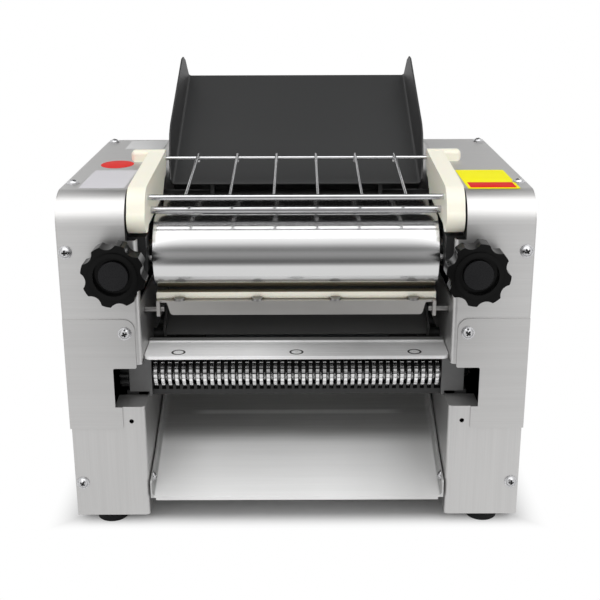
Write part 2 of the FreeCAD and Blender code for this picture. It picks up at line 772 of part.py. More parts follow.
def cover_screw(x, y, z, axis, share=1.0):
    """A domed head with a recess, on a washer, with a short shank."""
    seat = V(x, y, z)
    washer_t, dome, head_r = WASHER_T * share, SCREW_DOME * share, SCREW_HEAD_R * share
    washer = Part.makeCylinder(WASHER_R * share, washer_t, seat, axis)
    top = seat + axis * washer_t
    sphere_r = (head_r ** 2 + dome ** 2) / (2 * dome)
    ball = Part.makeSphere(sphere_r, top + axis * (dome - sphere_r))
    head = ball.common(Part.makeCylinder(head_r, dome, top, axis))
    shank = Part.makeCylinder(SCREW_R * share, SCREW_LEN * share, seat - axis * SCREW_LEN * share, axis)
    recess = Part.makeCylinder(SOCKET_R * share, dome, top + axis * (dome / 2), axis)
    return washer.fuse([head, shank]).cut(recess)


def cover_screws():
    shapes = []
    right = [cover_screw(*p) for p in upper_screws() + plate_screws() + lower_screws() + side_screws()]
    right += [cover_screw(*p, CHUTE_SCREW_SHARE) for p in chute_screws()]
    for screw in right:
        shapes.append(screw)
        shapes.append(mirrored(screw))
    for place in rear_screws():
        shapes.append(cover_screw(*place))
    return shapes


# Frame

def frame_plate(with_drive):
    """Right frame plate: cast, with the sliding window, the bearing bore and the cutter slot."""
    low = FOOT_H + BASE_THICK
    slot_rear = REAR_CUTTER_Y + CUTTER_GEAR_R + ADDENDUM_SHARE * MODULE + SWEEP
    corners = [(PLATE_FRONT_LOW, low), (PLATE_FRONT_LOW, SLOT_FLOOR), (slot_rear, SLOT_FLOOR),
               (slot_rear, CUT_BLOCK_TOP + FIT), (PLATE_FRONT, CUT_BLOCK_TOP + FIT),
               (PLATE_FRONT, FRAME_TOP, FRAME_R), (PLATE_REAR, FRAME_TOP, FRAME_R), (PLATE_REAR, low)]
    plate = prism_x(corners, PLATE_X, PLATE_OUT)
    foot = block(PLATE_X, PLATE_X + FOOT_FLANGE, PLATE_FRONT_LOW, PLATE_REAR, low, low + FOOT_FLANGE_T)
    boss = rod_y(PLATE_FRONT, window_front(), KNOB_X, ROLLER_Z, FRONT_BOSS_R)
    boss = boss.common(block(PLATE_X, ROLLER_GEAR_X0 - SWEEP, 0, BODY_DEPTH, FOOT_H, BODY_TOP))
    plate = plate.fuse([foot, boss]).removeSplitter()
    plate = plate.cut(block(PLATE_X - OVERRUN, PLATE_OUT + OVERRUN, window_front(),
                            BLOCK_REAR + TRAVEL_IN + FIT, ROLLER_Z - BLOCK_HALF_H - FIT,
                            ROLLER_Z + BLOCK_HALF_H + FIT))
    plate = plate.cut(rod_y(-OVERRUN, BLOCK_FRONT, KNOB_X, ROLLER_Z, ADJ_R + RUNNING))
    plate = plate.cut(rod_x(PLATE_X - OVERRUN, PLATE_OUT + OVERRUN, REAR_ROLLER_Y, ROLLER_Z, BEARING_R))
    drive_bores = ((LAY_Y, LAY_Z, HOUSING_R), (IDLER_Y, IDLER_Z, STUD_R), (MOTOR_Y, MOTOR_Z, MOTOR_PULLEY_R))
    for y, z, r in drive_bores if with_drive else ():
        plate = plate.cut(rod_x(PLATE_X - OVERRUN, PLATE_OUT + OVERRUN, y, z, r))
    plate = plate.cut(rod_x(PLATE_X - OVERRUN, PLATE_OUT + OVERRUN, PIVOT_Y, PIVOT_Z, PIVOT_R))
    plate = plate.cut(rod_x(PLATE_X - OVERRUN, PLATE_OUT + OVERRUN, GUIDE_BOLT[0], GUIDE_BOLT[1],
                            GUIDE_BOLT_R))
    for y, z in TIE_PLACES:
        plate = plate.cut(rod_x(PLATE_X - OVERRUN, PLATE_OUT + OVERRUN, y, z, TIE_END_R))
    return plate


def window_front():
    return BLOCK_FRONT - TRAVEL_OUT - FIT


def tie_rods():
    rods = []
    for y, z in TIE_PLACES:
        body = rod_x(-PLATE_X, PLATE_X, y, z, TIE_R)
        rods.append(body.fuse(rod_x(-PLATE_OUT, PLATE_OUT, y, z, TIE_END_R)).removeSplitter())
    return rods


# Pressing rollers

def roller(y, journal_left, journal_right):
    body = rod_x(-ROLLER_LEN / 2, ROLLER_LEN / 2, y, ROLLER_Z, ROLLER_R)
    rims = [e for e in body.Edges if abs(e.Length - 2 * math.pi * ROLLER_R) < FIT]
    body = body.makeChamfer(ROLLER_CHAMFER, rims)
    return body.fuse(rod_x(-journal_left, journal_right, y, ROLLER_Z, JOURNAL_R)).removeSplitter()


def bearing(x0, x1, y):
    """A ball bearing's outer ring with its shields; the journal turns in it."""
    ring = rod_x(x0, x1, y, ROLLER_Z, BEARING_R)
    groove = rod_x(x0 - OVERRUN, x0 + BEARING_SHIELD, y, ROLLER_Z, BEARING_R - BEARING_RING)
    groove = groove.cut(rod_x(x0 - OVERRUN, x1, y, ROLLER_Z, JOURNAL_R + BEARING_RING))
    return ring.cut(groove).cut(rod_x(x0 - OVERRUN, x1 + OVERRUN, y, ROLLER_Z, JOURNAL_R + RUNNING))


def bearing_block():
    """Right front bearing block: it slides in the frame plate's window and holds the scraper arm."""
    core = block(PLATE_X, PLATE_OUT, BLOCK_FRONT, BLOCK_REAR, ROLLER_Z - BLOCK_HALF_H,
                 ROLLER_Z + BLOCK_HALF_H)
    boss = block(PLATE_X, KNOB_X + BLOCK_BOSS_OUT, BLOCK_FRONT, BLOCK_FRONT + BLOCK_BOSS_DEPTH,
                 ROLLER_Z - BLOCK_BOSS_H / 2, ROLLER_Z + BLOCK_BOSS_H / 2)
    flange_x = PLATE_X - FIT
    flange = block(flange_x - BLOCK_FLANGE_T, flange_x, BLOCK_FRONT, BLOCK_REAR,
                   ROLLER_Z - BLOCK_HALF_H - BLOCK_FLANGE_LIP, ROLLER_Z + NOSE_TOP - ROLLER_Z)
    bridge = block(flange_x - FIT, PLATE_X + FIT, BLOCK_FRONT, BLOCK_REAR, ROLLER_Z - BLOCK_HALF_H,
                   NOSE_TOP)
    nose = block(NOSE_IN, flange_x, NOSE_FRONT, NOSE_REAR, NOSE_BOTTOM, NOSE_TOP)
    split = block(NOSE_IN - OVERRUN, NOSE_IN + NOSE_SPLIT, NOSE_FRONT - OVERRUN, NOSE_REAR + OVERRUN,
                  (NOSE_BOTTOM + NOSE_TOP + BLOCK_BOSS_DEPTH) / 2 - NOSE_SPLIT / 2,
                  (NOSE_BOTTOM + NOSE_TOP + BLOCK_BOSS_DEPTH) / 2 + NOSE_SPLIT / 2)
    arm = block(flange_x - BLOCK_FLANGE_T, flange_x, ARM_FRONT, ARM_REAR, ARM_BOTTOM, ROLLER_Z)
    body = core.fuse([boss, bridge, flange, nose, arm]).removeSplitter()
    body = body.cut(split)
    body = body.cut(rod_x(NOSE_IN - OVERRUN, PLATE_OUT + OVERRUN, FRONT_ROLLER_Y, ROLLER_Z, BEARING_R))
    body = body.cut(rod_y(BLOCK_FRONT - OVERRUN, BLOCK_FRONT + ADJ_NECK, KNOB_X, ROLLER_Z,
                          ADJ_NECK_R + FIT))
    body = body.cut(rod_y(BLOCK_FRONT + ADJ_NECK - FIT, BLOCK_FRONT + ADJ_NECK + ADJ_HEAD_T + FIT,
                          KNOB_X, ROLLER_Z, ADJ_HEAD_R + FIT))
    body = body.cut(rod_x(NOSE_IN - OVERRUN, PLATE_OUT, SCRAPER_PIN_Y, SCRAPER_PIN_Z, SCRAPER_PIN_R))
    return body


# Knobs

def knob_rim(angle, r):
    """A point of the knob's outline, its angle measured from upright."""
    a = math.radians(angle)
    return V(KNOB_X + r * math.sin(a), -KNOB_FRONT, ROLLER_Z + r * math.cos(a))


def knob_star(turn):
    """The star's outline: lobes of the full radius with a scallop between each two."""
    step = 360 / KNOB_LOBES
    tip = (step - KNOB_SCALLOP_ANGLE) / 2
    edges = []
    for i in range(KNOB_LOBES):
        lobe = turn + i * step
        begin, end = knob_rim(lobe - tip, KNOB_R), knob_rim(lobe + tip, KNOB_R)
        following = knob_rim(lobe + step - tip, KNOB_R)
        low = knob_rim(lobe + step / 2, KNOB_R - KNOB_VALLEY)
        edges.append(Part.Arc(begin, knob_rim(lobe, KNOB_R), end).toShape())
        edges.append(Part.Arc(end, low, following).toShape())
    return Part.Face(Part.Wire(edges))


def knob(turn):
    star = knob_star(turn).extrude(V(0, KNOB_THICK, 0))
    corners = [e for e in star.Edges if e.BoundBox.YLength > KNOB_THICK / 2]
    star = star.makeFillet(KNOB_TIP_R, corners)
    rounding = Part.makeCylinder(KNOB_R + KNOB_EDGE, KNOB_THICK, V(KNOB_X, -KNOB_FRONT, ROLLER_Z),
                                 V(0, 1, 0))
    rims = [e for e in rounding.Edges if abs(e.Length - 2 * math.pi * (KNOB_R + KNOB_EDGE)) < FIT]
    rounding = rounding.makeFillet(2 * KNOB_EDGE, rims)
    body = star.common(rounding)
    face_y = -KNOB_FRONT + KNOB_EDGE
    ring_zone = rod_y(-KNOB_FRONT - OVERRUN, face_y, KNOB_X, ROLLER_Z, KNOB_R + OVERRUN)
    ring_zone = ring_zone.cut(rod_y(-KNOB_FRONT - OVERRUN, face_y + OVERRUN, KNOB_X, ROLLER_Z,
                                    KNOB_RING_R))
    body = body.cut(ring_zone)
    body = body.cut(rod_y(-KNOB_FRONT - OVERRUN, -KNOB_FRONT + KNOB_RECESS, KNOB_X, ROLLER_Z,
                          KNOB_RECESS_R))
    hub = rod_y(-KNOB_FRONT + KNOB_THICK - KNOB_EDGE, -KNOB_HUB_GAP, KNOB_X, ROLLER_Z, KNOB_HUB_R)
    body = body.fuse(hub).removeSplitter()
    bore = rod_y(-KNOB_FRONT + KNOB_RECESS + KNOB_CAP_T, OVERRUN, KNOB_X, ROLLER_Z, ADJ_R)
    return body.cut(bore)


def knob_cap():
    front = -KNOB_FRONT + KNOB_EDGE
    cap = rod_y(front, -KNOB_FRONT + KNOB_RECESS, KNOB_X, ROLLER_Z, KNOB_CAP_R)
    rims = [e for e in cap.Edges if e.BoundBox.YMax < front + FIT]
    return cap.makeFillet(KNOB_EDGE / 2, rims)


def adjusting_screw():
    start = -KNOB_FRONT + KNOB_RECESS + KNOB_CAP_T
    neck = BLOCK_FRONT - TRAVEL_OUT - FIT
    thread = rod_y(start, BLOCK_FRONT - FIT, KNOB_X, ROLLER_Z, ADJ_R)
    stem = rod_y(neck, BLOCK_FRONT + ADJ_NECK + ADJ_HEAD_T / 2, KNOB_X, ROLLER_Z, ADJ_NECK_R)
    head = rod_y(BLOCK_FRONT + ADJ_NECK, BLOCK_FRONT + ADJ_NECK + ADJ_HEAD_T, KNOB_X, ROLLER_Z,
                 ADJ_HEAD_R)
    return thread.fuse([stem, head]).removeSplitter()


# Finger guard

def guard_bracket():
    """Right bracket, moulded nylon: the arm over the cover's cut, the cheek beside the rollers."""
    arm = prism_x([(PIVOT_Y, PIVOT_Z - LUG_R / 2), (TAB_FRONT, BODY_TOP - LUG_R),
                   (TAB_REAR, BODY_TOP), (TAB_REAR, BODY_TOP + TAB_H, TAB_R),
                   (TAB_FRONT - LUG_R, BODY_TOP + TAB_H - TAB_R / 2, OVERRUN),
                   (PIVOT_Y + 2 * LUG_R, BODY_TOP + TAB_R, OVERRUN),
                   (PIVOT_Y - TAB_R, BODY_TOP + TAB_R / 2, ARM_BEND_R),
                   (PIVOT_Y - LUG_R + SWEEP, PIVOT_Z + TAB_R)], GUARD_IN, GUARD_OUT)
    lug = rod_x(GUARD_IN, GUARD_OUT, PIVOT_Y, PIVOT_Z, LUG_R)
    cheek = prism_x([(PIVOT_Y, PIVOT_Z - LUG_R + TAB_R), (REAR_ROLLER_Y + TAB_R, PIVOT_Z - TAB_R),
                     (TAB_REAR, BODY_TOP + TAB_R), (PIVOT_Y, BODY_TOP)], GUARD_IN, WEB_OUT)
    tab = block(GUARD_IN, TAB_OUT, TAB_FRONT, TAB_REAR, BODY_TOP, BODY_TOP + TAB_H)
    rims = [e for e in tab.Edges if e.BoundBox.XMin > TAB_OUT - FIT
            or (e.BoundBox.ZMin > BODY_TOP + TAB_H - FIT and e.BoundBox.XLength > FIT)]
    tab = tab.makeFillet(TAB_R, rims)
    body = arm.fuse([lug, cheek, tab]).removeSplitter()
    for y, z, r in (ROD1, ROD2, ROD3):
        body = body.cut(rod_x(GUARD_IN - OVERRUN, GUARD_IN + ROD_IN, y, z, r))
    body = body.cut(rod_x(GUARD_OUT - PIVOT_DEEP, GUARD_OUT + OVERRUN, PIVOT_Y, PIVOT_Z,
                          PIVOT_R + RUNNING))
    return body


def guard_pivot():
    return rod_x(GUARD_OUT - PIVOT_DEEP + SWEEP, PLATE_OUT, PIVOT_Y, PIVOT_Z, PIVOT_R)


def guard_rods():
    half = GUARD_IN + ROD_IN
    return [rod_x(-half, half, y, z, r) for y, z, r in (ROD1, ROD2, ROD3)]


def guard_wires():
    """Each wire butts against the front rod and hooks over the rear rod."""
    y1, z1, r1 = ROD1
    y3, z3, r3 = ROD3
    start_y, start_z = y1 + r1 + FIT, z1 + WIRE_R / 2
    hook_r = r3 + WIRE_R
    apart = math.hypot(start_y - y3, start_z - z3)
    touch = math.atan2(start_z - z3, start_y - y3) - math.acos(hook_r / apart)
    turn = math.radians(HOOK_TURN)
    shapes = []
    for i in range(WIRE_COUNT):
        x = (i - (WIRE_COUNT - 1) / 2) * WIRE_PITCH
        start = V(x, start_y, start_z)
        bends = [V(x, y3 + hook_r * math.cos(touch - turn * share), z3 + hook_r * math.sin(touch - turn * share))
                 for share in (0, 0.5, 1)]
        path = Part.Wire([Part.LineSegment(start, bends[0]).toShape(), Part.Arc(*bends).toShape()])
        circle = Part.Wire(Part.makeCircle(WIRE_R, start, bends[0] - start))
        shapes.append(path.makePipeShell([circle], True, False))
    return shapes


# Feed tray

def tray_point(s, n):
    """A place on the tray: s along its floor from the front edge, n above its floor."""
    return (TRAY_FRONT_Y + s * math.cos(TRAY_S) - n * math.sin(TRAY_S),
            TRAY_FRONT_Z + s * math.sin(TRAY_S) + n * math.cos(TRAY_S))


def feed_tray():
    lean = (TRAY_TOP_HALF - TRAY_FLOOR_HALF) / TRAY_FLANGE
    section = [(-TRAY_FLOOR_HALF, 0, TRAY_T * 3), (TRAY_FLOOR_HALF, 0, TRAY_T * 3),
               (TRAY_TOP_HALF, TRAY_FLANGE), (TRAY_TOP_HALF - TRAY_T, TRAY_FLANGE + TRAY_T * lean),
               (TRAY_FLOOR_HALF - TRAY_T, TRAY_T, TRAY_T * 2),
               (-TRAY_FLOOR_HALF + TRAY_T, TRAY_T, TRAY_T * 2),
               (-TRAY_TOP_HALF + TRAY_T, TRAY_FLANGE + TRAY_T * lean), (-TRAY_TOP_HALF, TRAY_FLANGE)]
    shell = outline(section, lambda p: V(p.x, tray_point(0, p.y)[0], tray_point(0, p.y)[1]))
    shell = shell.extrude(V(0, TRAY_LEN * math.cos(TRAY_S), TRAY_LEN * math.sin(TRAY_S)))
    side = [tray_point(0, -TRAY_T)]
    for along, up in TRAY_FRONT_SHARES + TRAY_REAR_SHARES:
        side.append(tray_point(TRAY_LEN * along, TRAY_FLANGE * up))
    side.append(tray_point(TRAY_LEN, -TRAY_T))
    shell = shell.common(prism_x(side, -TRAY_TOP_HALF - OVERRUN, TRAY_TOP_HALF + OVERRUN))
    hooks = []
    rod_y_place, rod_z_place = TIE_PLACES[2]
    for x in (-TRAY_HOOK_X, TRAY_HOOK_X):
        hook = prism_x([(rod_y_place - TRAY_HOOK_W / 2, rod_z_place),
                        (rod_y_place + TRAY_HOOK_W / 2, rod_z_place),
                        (rod_y_place + TRAY_HOOK_W / 2, tray_floor_z(rod_y_place + TRAY_HOOK_W / 2)),
                        (rod_y_place - TRAY_HOOK_W / 2, tray_floor_z(rod_y_place - TRAY_HOOK_W / 2))],
                       x - TRAY_HOOK_T / 2, x + TRAY_HOOK_T / 2)
        hook = hook.cut(rod_x(-OVERRUN * 10, OVERRUN * 10, rod_y_place, rod_z_place, TIE_R + FIT))
        mouth = block(x - OVERRUN, x + OVERRUN, rod_y_place - TIE_R - FIT,
                      rod_y_place + TIE_R + FIT, rod_z_place - OVERRUN, rod_z_place)
        hook = hook.cut(turned_x(mouth, rod_y_place, rod_z_place, -TRAY_LIFT_TILT))
        hooks.append(hook)
    return shell.fuse(hooks).removeSplitter()


def tray_floor_z(y):
    """Height of the tray's underside at the depth y, half a sheet up, so that pieces bed into it."""
    return TRAY_FRONT_Z + (y - TRAY_FRONT_Y) * math.tan(TRAY_S) + TRAY_T / 2


def tray_support():
    """A bent sheet on the rear cover's inner face; its top flange lies under the tray."""
    rear = BODY_DEPTH - SHEET
    front = rear - SUPPORT_T
    lean_top = front - SUPPORT_TOP_LEN * math.cos(TRAY_S)
    gap = TRAY_T / 2 + FIT
    upper = tray_floor_z(front) - gap
    slope = math.tan(TRAY_S)
    drop = SUPPORT_T / math.cos(TRAY_S)
    corners = [(rear, REAR_TOP - SUPPORT_FOOT), (rear, upper + SUPPORT_T * slope),
               (lean_top, upper - (front - lean_top) * slope),
               (lean_top, upper - (front - lean_top) * slope - drop),
               (front, upper - drop), (front, REAR_TOP - SUPPORT_FOOT)]
    return prism_x(corners, -SUPPORT_HALF, SUPPORT_HALF)


# Scrapers

def front_scraper():
    """Cream bar whose rear edge lies just under the front roller."""
    tip_y = SCRAPER_FRONT + SCRAPER_REACH
    corners = [(SCRAPER_FRONT, SCRAPER_Z - SCRAPER_T), (SCRAPER_FRONT, SCRAPER_Z),
               (tip_y - SCRAPER_T, SCRAPER_Z), (tip_y, SCRAPER_Z - SCRAPER_T + SCRAPER_TIP),
               (tip_y, SCRAPER_Z - SCRAPER_T)]
    return prism_x(scraper_fitted(corners), -SCRAPER_LEN / 2, SCRAPER_LEN / 2)


def scraper_fitted(corners):
    """Lowers the bar's corners until the roller just clears them."""
    lowest = 0.0
    for y, z in corners:
        reach = ROLLER_R + FIT
        aside = abs(y - FRONT_ROLLER_Y)
        if aside < reach:
            limit = ROLLER_Z - math.sqrt(reach ** 2 - aside ** 2)
            lowest = max(lowest, z - limit)
    return [(y, z - lowest) for y, z in corners]


def scraper_bottom():
    return SCRAPER_Z - SCRAPER_T - (SCRAPER_Z - scraper_fitted(scraper_corner())[0][1])


def scraper_corner():
    tip_y = SCRAPER_FRONT + SCRAPER_REACH
    return [(SCRAPER_FRONT, SCRAPER_Z), (tip_y - SCRAPER_T, SCRAPER_Z),
            (tip_y, SCRAPER_Z - SCRAPER_T + SCRAPER_TIP)]


def scraper_bracket():
    """Steel angle under the bar: a top flange, a tapered front flange and an ear at each end."""
    top = scraper_bottom()
    flange = block(-ANGLE_HALF, ANGLE_HALF, ANGLE_FRONT, ANGLE_REAR, top - ANGLE_T, top)
    face = prism_y([(-ANGLE_HALF, top), (ANGLE_HALF, top),
                    (ANGLE_HALF - ANGLE_TAPER, top - ANGLE_DROP, SMALL_R * 2),
                    (-ANGLE_HALF + ANGLE_TAPER, top - ANGLE_DROP, SMALL_R * 2)],
                   ANGLE_FRONT, ANGLE_FRONT + ANGLE_T)
    shapes = [face]
    for side in (-1, 1):
        inner, outer = sorted((side * (ANGLE_HALF - ANGLE_T), side * (GUARD_IN - ANGLE_EAR_T)))
        shapes.append(block(inner, outer, ANGLE_EAR_Y0 + ANGLE_EAR_T, ANGLE_EAR_Y1, top - ANGLE_T, top))
        inner, outer = sorted((side * (GUARD_IN - 2 * ANGLE_EAR_T), side * (GUARD_IN - ANGLE_EAR_T)))
        shapes.append(block(inner, outer, ANGLE_EAR_Y0, ANGLE_EAR_Y1,
                            SCRAPER_PIN_Z - 2 * SCRAPER_PIN_R, top))
    body = flange.fuse(shapes).removeSplitter()
    return body.cut(rod_x(-HALF, HALF, SCRAPER_PIN_Y, SCRAPER_PIN_Z, SCRAPER_PIN_R))


def scraper_screws():
    shapes = []
    top = scraper_bottom()
    head_y = (ANGLE_FRONT + SCRAPER_FRONT) / 2
    for i in range(SCRAPER_SCREW_COUNT):
        x = (i - (SCRAPER_SCREW_COUNT - 1) / 2) * SCRAPER_SCREW_PITCH
        head = rod_z(top, top + SCRAPER_SCREW_HEAD_H, x, head_y, SCRAPER_SCREW_HEAD_R)
        head = head.cut(block(x - OVERRUN, x + OVERRUN, SCRAPER_FRONT, SCRAPER_FRONT + OVERRUN,
                              top - OVERRUN, top + OVERRUN))
        shapes.append(head)
    for side in (-1, 1):
        inner, outer = sorted((side * (GUARD_IN - 3 * ANGLE_EAR_T), side * (PLATE_X - FIT)))
        shapes.append(rod_x(inner, outer, SCRAPER_PIN_Y, SCRAPER_PIN_Z, SCRAPER_PIN_R))
    return shapes


def rear_bracket_z():
    return ROLLER_Z - ROLLER_R - REAR_SCRAPER_DROP - ANGLE_T


def rear_scraper():
    """Cream bar under the rear roller, on a flat bracket between the frame plates."""
    y0 = REAR_ROLLER_Y + REAR_SCRAPER_OUT - SCRAPER_REACH
    top = rear_bracket_z() + ANGLE_T
    reach = ROLLER_R + FIT
    tip = ROLLER_Z - math.sqrt(reach ** 2 - (y0 - REAR_ROLLER_Y) ** 2)
    corners = [(y0, top), (y0 + SCRAPER_REACH + REAR_BRACKET_W / 2, top),
               (y0 + SCRAPER_REACH + REAR_BRACKET_W / 2, top + SCRAPER_T), (y0 + SCRAPER_T, tip), (y0, tip)]
    return prism_x(corners, -SCRAPER_LEN / 2, SCRAPER_LEN / 2)


def rear_scraper_bracket():
    y = REAR_ROLLER_Y + REAR_SCRAPER_OUT
    return block(-PLATE_X, PLATE_X, y, y + REAR_BRACKET_W, rear_bracket_z(),
                 rear_bracket_z() + ANGLE_T)


# Dough guide

def dough_guide():
    """Black sheet that leads the dough from the rollers to the cutter, with a cheek at each end."""
    run_y = GUIDE_TOP[0] - GUIDE_BOTTOM[0]
    run_z = GUIDE_TOP[1] - GUIDE_BOTTOM[1]
    long = math.hypot(run_y, run_z)
    ny, nz = run_z / long * GUIDE_T, -run_y / long * GUIDE_T
    sheet = prism_x([GUIDE_BOTTOM, GUIDE_TOP, (GUIDE_TOP[0] + ny, GUIDE_TOP[1] + nz),
                     (GUIDE_BOTTOM[0] + ny, GUIDE_BOTTOM[1] + nz)], -GUIDE_HALF, GUIDE_HALF)
    by, bz = GUIDE_BOLT
    cheek = [(GUIDE_BOTTOM[0] - GUIDE_T, GUIDE_BOTTOM[1] - GUIDE_T),
             (by + GUIDE_EAR, bz - GUIDE_EAR / 4, GUIDE_T), (GUIDE_TOP[0] + ny, GUIDE_TOP[1] + nz),
             (GUIDE_TOP[0], GUIDE_TOP[1]), (GUIDE_CHEEK_FRONT[0], GUIDE_CHEEK_FRONT[1])]
    shapes = []
    for side in (-1, 1):
        inner, outer = sorted((side * (GUIDE_HALF - GUIDE_T), side * GUIDE_HALF))
        shapes.append(prism_x(cheek, inner, outer))
    body = sheet.fuse(shapes).removeSplitter()
    return body.cut(rod_x(-HALF, HALF, by, bz, GUIDE_BOLT_R))


def guide_bolts():
    """A threaded end shows inside the cheek; a spacer sleeve reaches to the frame plate."""
    by, bz = GUIDE_BOLT
    shapes = []
    for side in (-1, 1):
        inner, outer = sorted((side * (GUIDE_HALF - GUIDE_T - GUIDE_BOLT_END), side * PLATE_OUT))
        bolt = rod_x(inner, outer, by, bz, GUIDE_BOLT_R)
        inner, outer = sorted((side * GUIDE_HALF, side * PLATE_X))
        shapes.append(bolt.fuse(rod_x(inner, outer, by, bz, GUIDE_SPACER_R)).removeSplitter())
    return shapes


# Cutter unit

def cutter_bar():
    """Polished top bar with a small rear lip and rounded front corners."""
    corners = [(-BAR_HALF, BAR_FRONT, BAR_END_R), (BAR_HALF, BAR_FRONT, BAR_END_R),
               (BAR_HALF, BAR_REAR), (-BAR_HALF, BAR_REAR)]
    bar = prism_z(corners, BAR_TOP - BAR_T, BAR_TOP)
    lip = block(-BAR_HALF, BAR_HALF, BAR_REAR - BAR_T / 2, BAR_REAR, BAR_TOP - BAR_T, BAR_TOP + BAR_LIP)
    bar = bar.fuse(lip).removeSplitter()
    for x in bar_screw_places():
        bar = bar.cut(rod_z(BAR_TOP - OVERRUN, BAR_TOP + OVERRUN, x, BAR_SCREW_Y, SCREW_R))
        bar = bar.cut(Part.makeCone(SCREW_R, BAR_SCREW_R, BAR_T - SCREW_R / 2,
                                    V(x, BAR_SCREW_Y, BAR_TOP - BAR_T + SCREW_R / 2)))
    return bar


def bar_screw_places():
    return (-BAR_SCREW_PITCH, 0, BAR_SCREW_PITCH)


def hexagon(x, y, r):
    corners = [(x + r * math.cos(i * math.pi / 3), y + r * math.sin(i * math.pi / 3)) for i in range(6)]
    return outline(corners, lambda p: V(p.x, p.y, 0))


def bar_screws():
    shapes = []
    for x in bar_screw_places():
        low = BAR_TOP - BAR_T + SCREW_R / 2
        head = Part.makeCone(SCREW_R, BAR_SCREW_R, BAR_TOP - low, V(x, BAR_SCREW_Y, low))
        nut_top = BAR_TOP - BAR_T
        shank = rod_z(nut_top - BAR_NUT_T, low, x, BAR_SCREW_Y, SCREW_R)
        nut = hexagon(x, BAR_SCREW_Y, BAR_NUT_R).extrude(V(0, 0, -BAR_NUT_T))
        nut.translate(V(0, 0, nut_top))
        recess = rod_z(BAR_TOP - SCREW_R / 2, BAR_TOP + OVERRUN, x, BAR_SCREW_Y, SOCKET_R)
        shapes.append(head.fuse([shank, nut]).removeSplitter().cut(recess))
    return shapes


def cutter_end():
    """Right end block of the cutter unit: a thin side plate with the slide block outside it."""
    front, rear = CUT_BLOCK_FRONT, CUT_BLOCK_REAR
    plate = prism_x([(front, END_FOOT, SMALL_R), (rear, END_FOOT, SMALL_R), (rear, CUT_BLOCK_TOP),
                     (BAR_REAR + BAR_LIP, CUT_BLOCK_TOP), (BAR_REAR, BAR_TOP - BAR_T),
                     (front, BAR_TOP - BAR_T)], END_IN, BAR_HALF)
    slide = block(BAR_HALF, BLOCK_OUT, CUT_BLOCK_FRONT, CUT_BLOCK_REAR, END_BOTTOM, CUT_BLOCK_TOP)
    body = plate.fuse(slide).removeSplitter()
    for y in (CUTTER_Y, REAR_CUTTER_Y):
        body = body.cut(rod_x(END_IN - OVERRUN, BLOCK_OUT + OVERRUN, y, CUTTER_Z,
                              CUTTER_JOURNAL_R + RUNNING))
    return body


def cutter_shaft(y, first, left, right):
    """A cutter: knurled discs turned on a shaft, each groove taking a disc of the other cutter."""
    points = []
    for i in range(CUTTER_TEETH):
        middle = 2 * math.pi * i / CUTTER_TEETH
        quarter = math.pi / (2 * CUTTER_TEETH)
        for offset, r in ((-quarter, CUTTER_R), (quarter, CUTTER_R),
                          (1.7 * quarter, CUTTER_R - CUTTER_TOOTH), (2.3 * quarter, CUTTER_R - CUTTER_TOOTH)):
            points.append((y + r * math.cos(middle + offset), CUTTER_Z + r * math.sin(middle + offset)))
    shapes = [rod_x(-left, right, y, CUTTER_Z, CUTTER_JOURNAL_R)]
    x = first
    while x + CUTTER_DISC < CUTTER_HALF:
        shapes.append(prism_x(points, x, x + CUTTER_DISC))
        x += CUTTER_PITCH
    core = rod_x(-CUTTER_HALF, CUTTER_HALF, y, CUTTER_Z, CUTTER_CORE_R)
    return core.fuse(shapes)


def disc_starts(shift):
    return -CUTTER_HALF + CUTTER_DISC / 2 + shift


def cutter_comb(y, shift, inward):
    """A stripper: a bar under its cutter, with one finger in each of the cutter's grooves."""
    bar_y0, bar_y1 = sorted((y, y - inward * COMB_BAR))
    bar = block(-END_IN, END_IN, bar_y0, bar_y1, END_FOOT + FIT, END_FOOT + COMB_BAR_H)
    finger_y0, finger_y1 = sorted((y + inward * COMB_REACH, y - inward * COMB_BAR))
    finger_top = CUTTER_Z - CUTTER_CORE_R - 2 * FIT
    x = disc_starts(shift) + (CUTTER_PITCH + CUTTER_DISC - COMB_FINGER) / 2
    fingers = []
    while x + COMB_FINGER < CUTTER_HALF - CUTTER_DISC:
        fingers.append(block(x, x + COMB_FINGER, finger_y0, finger_y1, END_FOOT + COMB_BAR_H - COMB_T,
                             finger_top))
        x += CUTTER_PITCH
    return bar.fuse(fingers)


def cutter_combs():
    return [cutter_comb(CUTTER_Y, 0, 1), cutter_comb(REAR_CUTTER_Y, CUTTER_PITCH / 2, -1)]


# Drive

